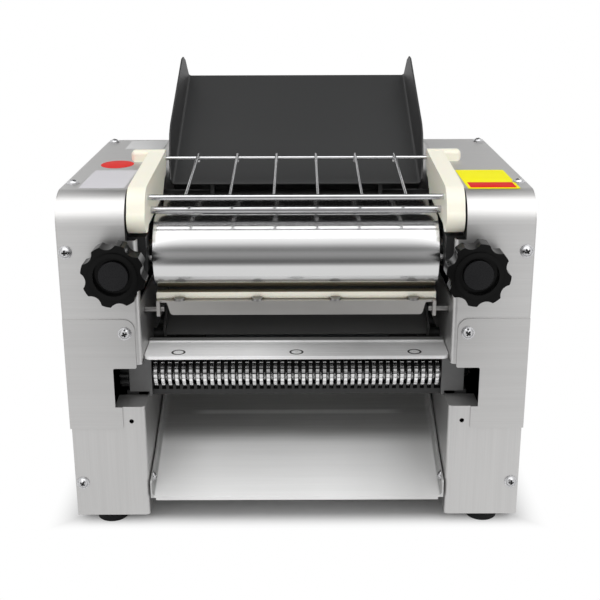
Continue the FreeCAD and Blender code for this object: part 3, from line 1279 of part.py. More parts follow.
def drive_gears():
    """All gears, each turned so that its teeth stand in the gaps of the one before it."""
    to_pinion = math.radians(LAY_ANGLE)
    pinion_phase = meshing_phase(to_pinion, MAIN_TEETH, PINION_TEETH, to_pinion)
    main = gear(MAIN_TEETH, MAIN_X0, MAIN_X1, REAR_ROLLER_Y, ROLLER_Z, to_pinion, JOURNAL_R)
    pinion = gear(PINION_TEETH, MAIN_X0, MAIN_X1, LAY_Y, LAY_Z, pinion_phase, LAY_R - FIT)
    to_idler = math.atan2(IDLER_Z - ROLLER_Z, IDLER_Y - REAR_ROLLER_Y)
    idler_phase = meshing_phase(to_pinion, MAIN_TEETH, IDLER_TEETH, to_idler)
    idler = gear(IDLER_TEETH, IDLER_X0, IDLER_X1, IDLER_Y, IDLER_Z, idler_phase, STUD_R + RUNNING)
    to_cutter = math.atan2(CUTTER_Z - IDLER_Z, REAR_CUTTER_Y - IDLER_Y)
    cutter_phase = meshing_phase(idler_phase, IDLER_TEETH, CUTTER_GEAR_TEETH, to_cutter)
    cutter = gear(CUTTER_GEAR_TEETH, CUTTER_GEAR_X0, CUTTER_GEAR_X1, REAR_CUTTER_Y, CUTTER_Z,
                  cutter_phase, CUTTER_JOURNAL_R)
    front_pair = gear(CUTTER_GEAR_TEETH, -CUTTER_GEAR_X1, -CUTTER_GEAR_X0, CUTTER_Y, CUTTER_Z,
                      0, CUTTER_JOURNAL_R)
    pair_phase = meshing_phase(0, CUTTER_GEAR_TEETH, CUTTER_GEAR_TEETH, 0)
    rear_pair = gear(CUTTER_GEAR_TEETH, -CUTTER_GEAR_X1, -CUTTER_GEAR_X0, REAR_CUTTER_Y, CUTTER_Z,
                     pair_phase, CUTTER_JOURNAL_R)
    return main, pinion, idler, cutter, front_pair, rear_pair


def roller_gear(y, phase):
    return gear(ROLLER_TEETH, -ROLLER_GEAR_X1, -ROLLER_GEAR_X0, y, ROLLER_Z, phase, JOURNAL_R,
                ROLLER_MODULE, ROLLER_ADDENDUM_SHARE, ROLLER_DEDENDUM_SHARE, ROLLER_BACKLASH)


def lay_housing():
    hub = rod_x(HOUSING_IN, PLATE_OUT, LAY_Y, LAY_Z, HOUSING_R)
    flange = rod_x(HOUSING_IN, PLATE_X, LAY_Y, LAY_Z, HOUSING_FLANGE_R)
    body = hub.fuse(flange).removeSplitter()
    return body.cut(rod_x(HOUSING_IN - OVERRUN, PLATE_OUT + OVERRUN, LAY_Y, LAY_Z, LAY_R + RUNNING))


def pulley(y, z, r, hub_r, bore, spoked):
    """A V-belt pulley; the large one has a thin web between hub and rim."""
    body = rod_x(PULLEY_X0, PULLEY_X1, y, z, r + PULLEY_LIP)
    middle = (PULLEY_X0 + PULLEY_X1) / 2
    half = BELT_W / 2 + BELT_SIDE
    groove = rod_x(middle - half, middle + half, y, z, r + PULLEY_LIP + OVERRUN)
    groove = groove.cut(rod_x(middle - half, middle + half, y, z, r - BELT_T / 2))
    body = body.cut(groove)
    if spoked:
        ring = rod_x(PULLEY_X0 - OVERRUN, PULLEY_X1 + OVERRUN, y, z, r - PULLEY_RIM)
        ring = ring.cut(rod_x(PULLEY_X0 - OVERRUN, PULLEY_X1 + OVERRUN, y, z, hub_r))
        web = rod_x(middle - PULLEY_WEB / 2, middle + PULLEY_WEB / 2, y, z, r - PULLEY_RIM)
        body = body.cut(ring.cut(web))
    return body.cut(rod_x(PULLEY_X0 - OVERRUN, PULLEY_X1 + OVERRUN, y, z, bore))


def belt_loop(grow, x0, x1):
    """The region inside a belt line that runs round both pulleys, grown by the given amount."""
    big = PULLEY_R - BELT_T / 2 + grow
    small = MOTOR_PULLEY_R - BELT_T / 2 + grow
    dy, dz = MOTOR_Y - LAY_Y, MOTOR_Z - LAY_Z
    apart = math.hypot(dy, dz)
    course = math.atan2(dz, dy)
    spread = math.acos((big - small) / apart)
    corners = []
    for side in (1, -1):
        angle = course + side * spread
        a = (LAY_Y + big * math.cos(angle), LAY_Z + big * math.sin(angle))
        b = (MOTOR_Y + small * math.cos(angle), MOTOR_Z + small * math.sin(angle))
        corners += [a, b] if side > 0 else [b, a]
    middle = prism_x(corners, x0, x1)
    return middle.fuse([rod_x(x0, x1, LAY_Y, LAY_Z, big),
                        rod_x(x0, x1, MOTOR_Y, MOTOR_Z, small)]).removeSplitter()


def drive_belt():
    middle = (PULLEY_X0 + PULLEY_X1) / 2
    x0, x1 = middle - BELT_W / 2, middle + BELT_W / 2
    return belt_loop(BELT_T + FIT, x0, x1).cut(belt_loop(FIT, x0 - OVERRUN, x1 + OVERRUN))


def pinion_shaft(pinion):
    """The pinion's teeth are cut on the shaft that carries the large pulley."""
    shaft = rod_x(HOUSING_IN - SHEET, PULLEY_X1 + GEAR_NUT_T / 2, LAY_Y, LAY_Z, LAY_R)
    return shaft.fuse(pinion).removeSplitter()


def motor():
    """Closed motor: finned body, two end bells, a boss where the shaft comes out."""
    body = rod_x(-MOTOR_HALF + MOTOR_BELL, MOTOR_HALF - MOTOR_BELL, MOTOR_Y, MOTOR_Z, MOTOR_R - MOTOR_FIN)
    fins = []
    for i in range(MOTOR_FINS):
        angle = 360.0 * i / MOTOR_FINS
        fin = block(-MOTOR_HALF + MOTOR_BELL, MOTOR_HALF - MOTOR_BELL, MOTOR_Y - MOTOR_FIN / 2,
                    MOTOR_Y + MOTOR_FIN / 2, MOTOR_Z + MOTOR_R - 3 * MOTOR_FIN, MOTOR_Z + MOTOR_R)
        fins.append(turned_x(fin, MOTOR_Y, MOTOR_Z, angle))
    bells = rod_x(-MOTOR_HALF, MOTOR_HALF, MOTOR_Y, MOTOR_Z, MOTOR_BELL_R)
    boss = rod_x(MOTOR_HALF, MOTOR_HALF + MOTOR_FIN * 2, MOTOR_Y, MOTOR_Z, MOTOR_PULLEY_R)
    low = FOOT_H + BASE_THICK
    feet_block = block(-CRADLE_L / 2, CRADLE_L / 2, MOTOR_Y - CRADLE_W / 2, MOTOR_Y + CRADLE_W / 2,
                       low, low + CRADLE_T)
    legs = []
    for x in (-CRADLE_L / 2 + CRADLE_T, CRADLE_L / 2 - 2 * CRADLE_T):
        legs.append(block(x, x + CRADLE_T, MOTOR_Y - CRADLE_W / 2, MOTOR_Y + CRADLE_W / 2,
                          low, MOTOR_Z - MOTOR_R / 2))
    solid = body.fuse(fins + legs + [bells, boss, feet_block]).removeSplitter()
    return solid.cut(rod_x(-MOTOR_HALF + MOTOR_BELL, MOTOR_HALF + OVERRUN, MOTOR_Y, MOTOR_Z,
                           MOTOR_SHAFT_R + RUNNING))


def motor_shaft():
    return rod_x(-MOTOR_HALF + MOTOR_BELL + SWEEP, PULLEY_X1 + GEAR_NUT_T / 2, MOTOR_Y, MOTOR_Z,
                 MOTOR_SHAFT_R)


def idler_stud():
    body = rod_x(PLATE_X, IDLER_X1 + FIT, IDLER_Y, IDLER_Z, STUD_R)
    head = rod_x(IDLER_X1 + FIT, IDLER_X1 + FIT + STUD_HEAD_T, IDLER_Y, IDLER_Z, STUD_HEAD_R)
    return body.fuse(head).removeSplitter()


# Switch and gland, on the left side and at the rear

def power_switch():
    outer = -HALF
    bezel = block(outer - SWITCH_BEZEL, outer, SWITCH_Y - SWITCH_W / 2 - SWITCH_RIM,
                  SWITCH_Y + SWITCH_W / 2 + SWITCH_RIM, SWITCH_Z - SWITCH_H / 2 - SWITCH_RIM,
                  SWITCH_Z + SWITCH_H / 2 + SWITCH_RIM)
    body = block(outer, outer + SWITCH_DEEP, SWITCH_Y - SWITCH_W / 2 + RUNNING,
                 SWITCH_Y + SWITCH_W / 2 - RUNNING, SWITCH_Z - SWITCH_H / 2 + RUNNING,
                 SWITCH_Z + SWITCH_H / 2 - RUNNING)
    switch = bezel.fuse(body).removeSplitter()
    pocket = block(outer - SWITCH_BEZEL - OVERRUN, outer + ROCKER_T + SWITCH_RIM,
                   SWITCH_Y - SWITCH_W / 2 + SWITCH_RIM, SWITCH_Y + SWITCH_W / 2 - SWITCH_RIM,
                   SWITCH_Z - SWITCH_H / 2 + SWITCH_RIM, SWITCH_Z + SWITCH_H / 2 - SWITCH_RIM)
    switch = switch.cut(pocket)
    axle = rod_y(SWITCH_Y - SWITCH_W / 2, SWITCH_Y + SWITCH_W / 2, outer + ROCKER_T / 2, SWITCH_Z,
                 ROCKER_AXLE_R + RUNNING)
    return switch.cut(axle)


def switch_rocker():
    """The rocker, with its upper half pressed in, on a small axle."""
    outer = -HALF
    half_h = SWITCH_H / 2 - SWITCH_RIM - ROCKER_GAP
    half_w = SWITCH_W / 2 - SWITCH_RIM - FIT
    tilt = math.radians(ROCKER_TILT / 2)
    rise = half_h * math.tan(tilt) * 2
    corners = [(outer - SWITCH_BEZEL - rise, SWITCH_Z - half_h), (outer - SWITCH_BEZEL / 2, SWITCH_Z),
               (outer - SWITCH_BEZEL / 2 + SWEEP, SWITCH_Z + half_h),
               (outer + ROCKER_T / 2 + rise / 2, SWITCH_Z + half_h), (outer + ROCKER_T, SWITCH_Z),
               (outer + ROCKER_T / 2 - rise, SWITCH_Z - half_h)]
    body = prism_y(corners, SWITCH_Y - half_w, SWITCH_Y + half_w)
    axle = rod_y(SWITCH_Y - SWITCH_W / 2 + SWEEP, SWITCH_Y + SWITCH_W / 2 - SWEEP,
                 outer + ROCKER_T / 2, SWITCH_Z, ROCKER_AXLE_R)
    return body.fuse(axle).removeSplitter()


def cable_gland():
    rear = BODY_DEPTH
    barrel = rod_y(rear - GLAND_FLANGE_T - SHEET, rear + GLAND_LEN, GLAND_X, GLAND_Z,
                   GLAND_R - RUNNING)
    flange = rod_y(rear, rear + GLAND_FLANGE_T, GLAND_X, GLAND_Z, GLAND_FLANGE_R)
    body = barrel.fuse(flange).removeSplitter()
    return body.cut(rod_y(rear - OVERRUN, rear + GLAND_LEN + OVERRUN, GLAND_X, GLAND_Z, GLAND_BORE))


# Discharge chute

def chute_line(drop, inset):
    """The floor and back of the chute as corners, lowered by drop and drawn forwards by inset."""
    slope = (CHUTE_BEND[1] - CHUTE_LIP_Z) / CHUTE_BEND[0]
    return [(-inset, CHUTE_LIP_Z - drop - inset * slope), (CHUTE_BEND[0], CHUTE_BEND[1] - drop, 3 * CHUTE_BEND_R),
            (CHUTE_BACK_Y + drop, CHUTE_BEND[1] + CHUTE_BEND_R, CHUTE_BEND_R / 2),
            (CHUTE_BACK_Y + drop, CHUTE_BACK_TOP)]


def discharge_chute():
    """Brushed sheet with a flange at each side, a rounded corner below each flange, a front hem."""
    half = TOWER_IN - CHUTE_GAP
    outer = chute_line(SHEET, 0) + [(CHUTE_BACK_Y, CHUTE_BACK_TOP)] + list(reversed(CHUTE_FLANGE))
    outer[-1] = outer[-1] + (CHUTE_CORNER_R / 2,)
    body = prism_x(outer, -half, half)
    inner_corners = chute_line(0, OVERRUN) + [(-OVERRUN, CHUTE_BACK_TOP)]
    inner_corners[3] = (CHUTE_BACK_Y, CHUTE_BACK_TOP + OVERRUN)
    inner_corners[4] = (-OVERRUN, CHUTE_BACK_TOP + OVERRUN)
    hollow = prism_x(inner_corners, -half + SHEET, half - SHEET)
    floor_edges = []
    for edge in hollow.Edges:
        box = edge.BoundBox
        along = box.XLength < FIT and box.YLength > FIT
        if along and box.ZMax < CHUTE_BACK_TOP and box.YMax > 0:
            floor_edges.append(edge)
    hollow = hollow.makeFillet(CHUTE_CORNER_R, floor_edges)
    body = body.cut(hollow)
    hem = block(-half + CHUTE_CORNER_R, half - CHUTE_CORNER_R, 0, SHEET,
                CHUTE_LIP_Z - CHUTE_HEM, CHUTE_LIP_Z - SHEET / 2)
    body = body.fuse(hem).removeSplitter()
    for place in chute_screws():
        hole = screw_hole(*place, CHUTE_SCREW_SHARE)
        body = body.cut(hole).cut(mirrored(hole))
    return body


def main():
    os.makedirs(PARTS, exist_ok=True)
    upper = upper_cover()
    save("upper_cover_right", upper)
    save("upper_cover_left", mirrored(upper))
    save("side_cover_right", side_cover(False))
    save("side_cover_left", mirrored(side_cover(True)))
    lower = lower_cover()
    save("lower_cover_right", lower)
    save("lower_cover_left", mirrored(lower))
    save("rear_cover", rear_cover())
    save("base_plate", base_plate())
    save("feet", *feet())
    save("cover_screws", *cover_screws())
    save("frame_plate_right", frame_plate(True))
    save("frame_plate_left", mirrored(frame_plate(False)))
    save("tie_rods", *tie_rods())
    save("front_roller", roller(FRONT_ROLLER_Y, ROLLER_GEAR_X1 + GEAR_NUT_T, PLATE_OUT + SWEEP))
    save("rear_roller", roller(REAR_ROLLER_Y, ROLLER_GEAR_X1 + GEAR_NUT_T, MAIN_X1 + GEAR_NUT_T))
    ring = bearing(PLATE_X, PLATE_OUT, FRONT_ROLLER_Y)
    save("front_bearings", ring, mirrored(ring))
    ring = bearing(PLATE_X, PLATE_OUT, REAR_ROLLER_Y)
    save("rear_bearings", ring, mirrored(ring))
    slide = bearing_block()
    save("bearing_blocks", slide, mirrored(slide))
    save("knob_right", knob(KNOB_TURN_RIGHT))
    save("knob_left", mirrored(knob(KNOB_TURN_LEFT)))
    cap = knob_cap()
    save("knob_cap_right", cap)
    save("knob_cap_left", mirrored(cap))
    screw = adjusting_screw()
    save("adjusting_screw_right", screw)
    save("adjusting_screw_left", mirrored(screw))
    bracket = guard_bracket()
    save("guard_bracket_right", bracket)
    save("guard_bracket_left", mirrored(bracket))
    pivot = guard_pivot()
    save("frame_pins", pivot, mirrored(pivot), idler_stud(), *guide_bolts())
    save("guard_rods", *guard_rods())
    save("guard_wires", *guard_wires())
    save("feed_tray", feed_tray())
    save("tray_support", tray_support())
    save("front_scraper", front_scraper())
    save("scraper_bracket", scraper_bracket())
    save("scraper_screws", *scraper_screws())
    save("rear_scraper", rear_scraper())
    save("rear_scraper_bracket", rear_scraper_bracket())
    save("dough_guide", dough_guide())
    save("cutter_bar", cutter_bar())
    save("cutter_bar_screws", *bar_screws())
    end = cutter_end()
    save("cutter_end_blocks", end, mirrored(end))
    save("cutter_combs", *cutter_combs())
    save("front_cutter", cutter_shaft(CUTTER_Y, disc_starts(0), CUTTER_GEAR_X1, BLOCK_OUT))
    save("rear_cutter", cutter_shaft(REAR_CUTTER_Y, disc_starts(CUTTER_PITCH / 2), CUTTER_GEAR_X1,
                                     CUTTER_GEAR_X1))
    main_gear, pinion, idler, cutter_gear, front_pair, rear_pair = drive_gears()
    save("main_gear", main_gear)
    save("idler_gear", idler)
    save("front_cutter_gear", front_pair)
    save("rear_cutter_gears", cutter_gear, rear_pair)
    save("rear_roller_gear", roller_gear(REAR_ROLLER_Y, math.pi))
    save("front_roller_gear", roller_gear(FRONT_ROLLER_Y, math.pi / ROLLER_TEETH))
    save("pinion_shaft", pinion_shaft(pinion))
    save("shaft_housing", lay_housing())
    save("belt_pulley", pulley(LAY_Y, LAY_Z, PULLEY_R, PULLEY_HUB_R, LAY_R, True))
    save("motor_pulley", pulley(MOTOR_Y, MOTOR_Z, MOTOR_PULLEY_R, PULLEY_HUB_R, MOTOR_SHAFT_R, False))
    save("drive_belt", drive_belt())
    save("motor", motor())
    save("motor_shaft", motor_shaft())
    save("power_switch", power_switch())
    save("switch_rocker", switch_rocker())
    save("cable_gland", cable_gland())
    save("discharge_chute", discharge_chute())


main()
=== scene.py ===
import json
import math

import bmesh
import bpy
from mathutils import Matrix, Vector

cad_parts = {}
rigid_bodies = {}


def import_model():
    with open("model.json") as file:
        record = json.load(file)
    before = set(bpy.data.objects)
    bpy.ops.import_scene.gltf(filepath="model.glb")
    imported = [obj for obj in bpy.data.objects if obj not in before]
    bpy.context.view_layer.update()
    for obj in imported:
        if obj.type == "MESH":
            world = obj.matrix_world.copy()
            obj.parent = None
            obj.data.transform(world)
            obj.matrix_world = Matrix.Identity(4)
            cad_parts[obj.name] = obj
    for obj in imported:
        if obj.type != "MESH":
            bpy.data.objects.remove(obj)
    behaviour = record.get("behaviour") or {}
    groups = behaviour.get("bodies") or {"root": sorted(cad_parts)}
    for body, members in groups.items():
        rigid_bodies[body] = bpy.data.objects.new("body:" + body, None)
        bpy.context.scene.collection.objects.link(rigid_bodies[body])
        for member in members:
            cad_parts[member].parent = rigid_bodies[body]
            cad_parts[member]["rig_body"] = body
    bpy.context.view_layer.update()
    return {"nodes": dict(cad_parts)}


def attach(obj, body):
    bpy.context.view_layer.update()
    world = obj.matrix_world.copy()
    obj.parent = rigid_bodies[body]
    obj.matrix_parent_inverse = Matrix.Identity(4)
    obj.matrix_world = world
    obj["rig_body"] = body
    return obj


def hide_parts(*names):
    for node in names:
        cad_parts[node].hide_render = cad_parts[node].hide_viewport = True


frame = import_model()
bpy.context.scene.view_settings.view_transform = "Standard"

# Camera. It stands 0.83 m before the towers and 0.48 m above the table, and looks down by 17.8 degrees,
# as in the photograph; the roll and the shift of under a pixel are the photograph's own.
MM = 0.001
DEPTH_SHIFT = 153.141156
CAMERA_PLACE = (3.1, -831.0, 479.0)
CAMERA_PITCH, CAMERA_YAW, CAMERA_ROLL = 17.83, -0.05, -0.17
SENSOR_WIDTH, FOCAL_PIXELS, PICTURE_PIXELS = 36.0, 1054.0, 600.0
SHIFT_PIXELS = (-0.8, -0.6)


def at(x, y, z):
    """A place in drawing millimetres (front faces at y = 0) as a point of the frame."""
    return Vector((x * MM, (y - DEPTH_SHIFT) * MM, z * MM))


camera = bpy.data.objects.new("camera", bpy.data.cameras.new("camera"))
bpy.context.scene.collection.objects.link(camera)
bpy.context.scene.camera = camera
camera.data.sensor_width = SENSOR_WIDTH
camera.data.lens = SENSOR_WIDTH * FOCAL_PIXELS / PICTURE_PIXELS
camera.data.shift_x, camera.data.shift_y = (pixels / PICTURE_PIXELS for pixels in SHIFT_PIXELS)
camera.matrix_world = (Matrix.Translation(at(*CAMERA_PLACE))
                       @ Matrix.Rotation(math.radians(CAMERA_YAW), 4, "Z")
                       @ Matrix.Rotation(math.radians(90.0 - CAMERA_PITCH), 4, "X")
                       @ Matrix.Rotation(math.radians(CAMERA_ROLL), 4, "Z"))


# Studio. A white sweep, two soft boxes above and in front, and two cards that only polished metal sees:
# they give the rollers and the bent covers the dark bands between the lights.
PAPER = (0.80, 0.80, 0.80)
WHITE = (1.0, 1.0, 1.0)
# Over these distances beside, before and behind the machine its shadow gives way to pure white.
SHADOW_SIDE, SHADOW_FRONT, SHADOW_REAR = (0.185, 0.225), (-0.128, -0.160), (0.10, 0.22)
MATT_SHARE = 0.50
FLOOR_HALF = 30.0
REAR_CARD_Z, REAR_CARD_NEAR, REAR_CARD_FAR = 1.30, (0.30, -0.05), (0.80, 2.40)


class Value:
    """One output of a material's node. Sums and products of these, or with numbers, add Math nodes."""

    def __init__(self, tree, socket):
        self.tree = tree
        self.socket = socket

    def node(self, kind, settings, inputs, output=0):
        """Adds a node of this kind: its settings first, then its inputs by name or number."""
        made = self.tree.nodes.new(kind)
        for name, value in settings.items():
            if name == "stops":
                ramp = made.color_ramp
                while len(ramp.elements) < len(value):
                    ramp.elements.new(0.5)
                for stop, (position, grey) in zip(ramp.elements, value):
                    stop.position = position
                    stop.color = (grey, grey, grey, 1.0)
            else:
                setattr(made, name, value)
        for name, value in inputs.items():
            if isinstance(value, Value):
                self.tree.links.new(value.socket, made.inputs[name])
            else:
                made.inputs[name].default_value = value
        return Value(self.tree, made.outputs[output])

    def math(self, operation, *values):
        return self.node("ShaderNodeMath", {"operation": operation}, dict(enumerate(values)))

    def __add__(self, other):
        return self.math("ADD", self, other)

    def __radd__(self, other):
        return self.math("ADD", other, self)

    def __sub__(self, other):
        return self.math("SUBTRACT", self, other)

    def __rsub__(self, other):
        return self.math("SUBTRACT", other, self)

    def __mul__(self, other):
        return self.math("MULTIPLY", self, other)

    def __abs__(self):
        return self.math("ABSOLUTE", self)

    def __or__(self, other):
        """The larger of the two: where either mask is on."""
        return self.math("MAXIMUM", self, other)

    def between(self, low, high):
        """0 below low, 1 above high, and smooth between them."""
        return self.node("ShaderNodeMapRange", {"interpolation_type": "SMOOTHSTEP"},
                         {"Value": self, "From Min": low, "From Max": high})

    def band(self, start, full, full_end, end):
        """1 between full and full_end, 0 before start and after end."""
        return self.between(start, full) * self.between(end, full_end)

    def blend(self, first, second):
        """first where this value is 0, second where it is 1; both are colours."""
        return self.node("ShaderNodeMix", {"data_type": "RGBA", "clamp_factor": True},
                         {0: self, 6: colour(first), 7: colour(second)}, 2)

    def noise(self, scale, detail=3.0, stretch=(1.0, 1.0, 1.0)):
        """Noise at this place, drawn out where stretch is under 1."""
        moved = self.node("ShaderNodeMapping", {}, {"Vector": self, "Scale": stretch})
        return self.node("ShaderNodeTexNoise", {},
                         {"Vector": moved, "Scale": scale, "Detail": detail})

    def axis(self, letter):
        """One coordinate of this place."""
        return self.node("ShaderNodeSeparateXYZ", {}, {0: self}, "XYZ".index(letter))

    def bump(self, distance, strength):
        """A surface dented by this height."""
        return self.node("ShaderNodeBump", {},
                         {"Height": self, "Distance": distance, "Strength": strength})


def colour(value):
    """A colour socket's value: a Value as it is, or red, green and blue with full alpha."""
    return value if isinstance(value, Value) else (*value, 1.0)


def surface(name, look, **fixed):
    """A material. look(place) gives what varies over the surface; what is fixed goes on the shader."""
    made = bpy.data.materials.new(name)
    made.use_nodes = True
    tree = made.node_tree
    shader = tree.nodes["Principled BSDF"]
    place = Value(tree, tree.nodes.new("ShaderNodeTexCoord").outputs["Object"])
    for key, value in look(place).items():
        tree.links.new(value.socket, shader.inputs[key.replace("_", " ")])
    for key, value in fixed.items():
        shader.inputs[key.replace("_", " ")].default_value = value
    return made


def solid(name, points, faces, material):
    """A new mesh object from points and faces."""
    mesh = bpy.data.meshes.new(name)
    mesh.from_pydata([tuple(p) for p in points], [], faces)
    mesh.validate()
    made = bpy.data.objects.new(name, mesh)
    bpy.context.scene.collection.objects.link(made)
    mesh.materials.append(material)
    return made


def seen(tree):
    """1 for what the eye sees straight or in a mirror, 0 for the light that falls on matt surfaces."""
    path = tree.nodes.new("ShaderNodeLightPath")
    straight, mirrored, through = (Value(tree, path.outputs["Is " + ray + " Ray"])
                                   for ray in ("Camera", "Glossy", "Transmission"))
    return straight | mirrored | through


def plain_material(name, shader):
    """A material whose shader is made from scratch; shader(place) gives it."""
    made = bpy.data.materials.new(name)
    made.use_nodes = True
    tree = made.node_tree
    tree.nodes.clear()
    place = Value(tree, tree.nodes.new("ShaderNodeTexCoord").outputs["Object"])
    out = tree.nodes.new("ShaderNodeOutputMaterial")
    tree.links.new(shader(place).socket, out.inputs["Surface"])
    return made


def sweep(place):
    """Matt paper, which shows pure white round the machine, where no shadow falls."""
    matt = place.node("ShaderNodeBsdfDiffuse", {}, {"Color": colour(PAPER)})
    white = place.node("ShaderNodeEmission", {}, {"Color": colour(WHITE)})
    side = abs(place.axis("X")).between(*SHADOW_SIDE)
    front = place.axis("Y").between(*SHADOW_FRONT)
    rear = place.axis("Y").between(*SHADOW_REAR)
    shown = seen(place.tree) * (side | front | rear)
    return place.node("ShaderNodeMixShader", {}, {0: shown, 1: matt, 2: white})


def studio_world():
    """White for the eye and for metal, half as bright for matt surfaces."""
    world = bpy.data.worlds.new("studio")
    bpy.context.scene.world = world
    world.use_nodes = True
    tree = world.node_tree
    strength = seen(tree) * (1.0 - MATT_SHARE) + MATT_SHARE
    tree.links.new(strength.socket, tree.nodes["Background"].inputs["Strength"])
    tree.nodes["Background"].inputs["Color"].default_value = colour(WHITE)


def soft_box(name, place, aim, width, height, radiance):
    """An area lamp with an even face; radiance is what a mirror shows of it."""
    lamp = bpy.data.lights.new(name, "AREA")
    lamp.shape = "RECTANGLE"
    lamp.size, lamp.size_y = width, height
    lamp.energy = radiance * math.pi * width * height
    made = bpy.data.objects.new(name, lamp)
    bpy.context.scene.collection.objects.link(made)
    made.location = place
    made.rotation_euler = (Vector(place) - Vector(aim)).to_track_quat("Z", "Y").to_euler()


def card(name, corners, shade):
    """A card that only reflections show. shade gives its light from a place on it."""
    glow = plain_material(name, lambda place: place.node("ShaderNodeEmission", {}, {"Color": shade(place)}))
    made = solid(name, corners, [(0, 1, 2, 3)], glow)
    made.visible_camera = False
    made.visible_diffuse = False
    made.visible_shadow = False
    made.visible_transmission = False


def plate(near, far, height):
    """The corners of a level plate from its near and far half width and depth."""
    return [(-near[0], near[1], height), (near[0], near[1], height),
            (far[0], far[1], height), (-far[0], far[1], height)]


floor = solid("floor", plate((FLOOR_HALF, -FLOOR_HALF), (FLOOR_HALF, FLOOR_HALF), 0.0), [(0, 1, 2, 3)],
              plain_material("white_sweep", sweep))
studio_world()
soft_box("top_box", place=(0.0, -0.28, 1.50), aim=(0.0, -0.28, 0.0), width=2.4, height=0.42, radiance=1.38)
soft_box("front_box", place=(0.0, -1.17, 1.43), aim=(0.0, -0.10, 0.24), width=2.4, height=1.49,
         radiance=1.35)
card("rear_card", plate(REAR_CARD_NEAR, REAR_CARD_FAR, REAR_CARD_Z),
     lambda place: place.noise(2.0).blend((0.010, 0.010, 0.010), (0.016, 0.016, 0.016)))

# The front card stands between the roller and the camera. Its light falls from the soft box at its top to
# the dark of the room and meets the floor at its foot.
CARD_Y, CARD_HALF, CARD_TOP, ROLLER_AXIS = -0.45, 0.175, 0.70, (-0.101141, 0.240)
# Each pair is the angle at which the roller's axis sees a height of the card, and the light there.
FRONT_LIGHT = ((-33, 0.80), (-28, 0.42), (-22, 0.16), (-15, 0.18), (-9, 0.29), (-3, 0.38), (3, 0.42),
               (9, 0.38), (14, 0.25), (20, 0.28), (27, 0.50), (33, 0.84), (39, 1.08), (45, 1.22),
               (52, 1.42))
BRIGHTEST = 1.5


def card_height(degrees):
    """The height on the front card that the roller's axis sees at this angle."""
    return ROLLER_AXIS[1] + (ROLLER_AXIS[0] - CARD_Y) * math.tan(math.radians(degrees))


def front_shade(place):
    stops = [(card_height(degrees) / CARD_TOP, light / BRIGHTEST) for degrees, light in FRONT_LIGHT]
    height = place.axis("Z") * (1.0 / CARD_TOP)
    light = place.node("ShaderNodeValToRGB", {"stops": stops}, {0: height})
    return place.node("ShaderNodeVectorMath", {"operation": "SCALE"}, {0: light, "Scale": BRIGHTEST})


low, high = card_height(FRONT_LIGHT[0][0]), card_height(FRONT_LIGHT[-1][0])
card("front_card", [(-CARD_HALF, CARD_Y, low), (CARD_HALF, CARD_Y, low), (CARD_HALF, CARD_Y, high),
                    (-CARD_HALF, CARD_Y, high)], front_shade)


# Covers. Folded from 1.2 mm stainless sheet, with a fine grain that runs across the front and the top;
# the lower covers were cut from the sheet the other way, so their grain stands upright.
GRAIN_STRETCH, GRAIN_DEPTH = 0.012, 0.00004
TOWER_MIDDLE, COVER_MIDDLE_Z = 0.162, 0.05
# Painted shade for the faces that look into the machine.
INSIDE_SHADE = (0.05, 0.05, 0.05)


def grain(along):
    """The stretch that draws noise out along these axes, as brushing does."""
    return tuple(GRAIN_STRETCH if letter in along else 1.0 for letter in "XYZ")


def brushed_steel(name, along, grey, rough, metal=1.0):
    """Brushed sheet; the faces that look into the machine get painted shade, a dark grey."""
    def look(place):
        facing = place.node("ShaderNodeTexCoord", {}, {}, "Normal")
        side = place.axis("X")
        out = (facing.axis("X") * (side - side.math("SIGN", side) * TOWER_MIDDLE)
               + facing.axis("Y") * place.axis("Y")
               + facing.axis("Z") * (place.axis("Z") - COVER_MIDDLE_Z))
        # Faces that look into the machine, which get painted shade.
        inside = out.between(0.0, -MM)
        fine = place.noise(1500.0, 4.0, grain(along))
        coarse = place.noise(190.0, 3.0, grain(along))
        cloud = place.noise(7.0, 2.0)
        tone = (fine * 0.35 + coarse * 0.35 + cloud * 0.30).between(0.25, 0.75)
        steel = tone.blend(tuple(c * 0.92 for c in grey), tuple(c * 1.05 for c in grey))
        return {"Base_Color": inside.blend(steel, INSIDE_SHADE),
                "Roughness": rough + (coarse - 0.5) * 0.10 + (cloud - 0.5) * 0.08,
                "Normal": (fine * 0.7 + coarse * 0.3).bump(GRAIN_DEPTH, 0.30)}
    return surface(name, look, Metallic=metal)


def dress(material, *names):
    """Gives these CAD nodes a material."""
    for name in names:
        mesh = frame["nodes"][name].data
        mesh.materials.clear()
        mesh.materials.append(material)


def shaded(made, sharp):
    """Smooth shading that breaks at edges sharper than this angle."""
    made.data.polygons.foreach_set("use_smooth", [True] * len(made.data.polygons))
    made.data.set_sharp_from_angle(angle=math.radians(sharp))
    made.data.update()


SAME_POINT, FLAT_DEGREES, FLAT_WEIGHT = 0.000002, 0.4, 100


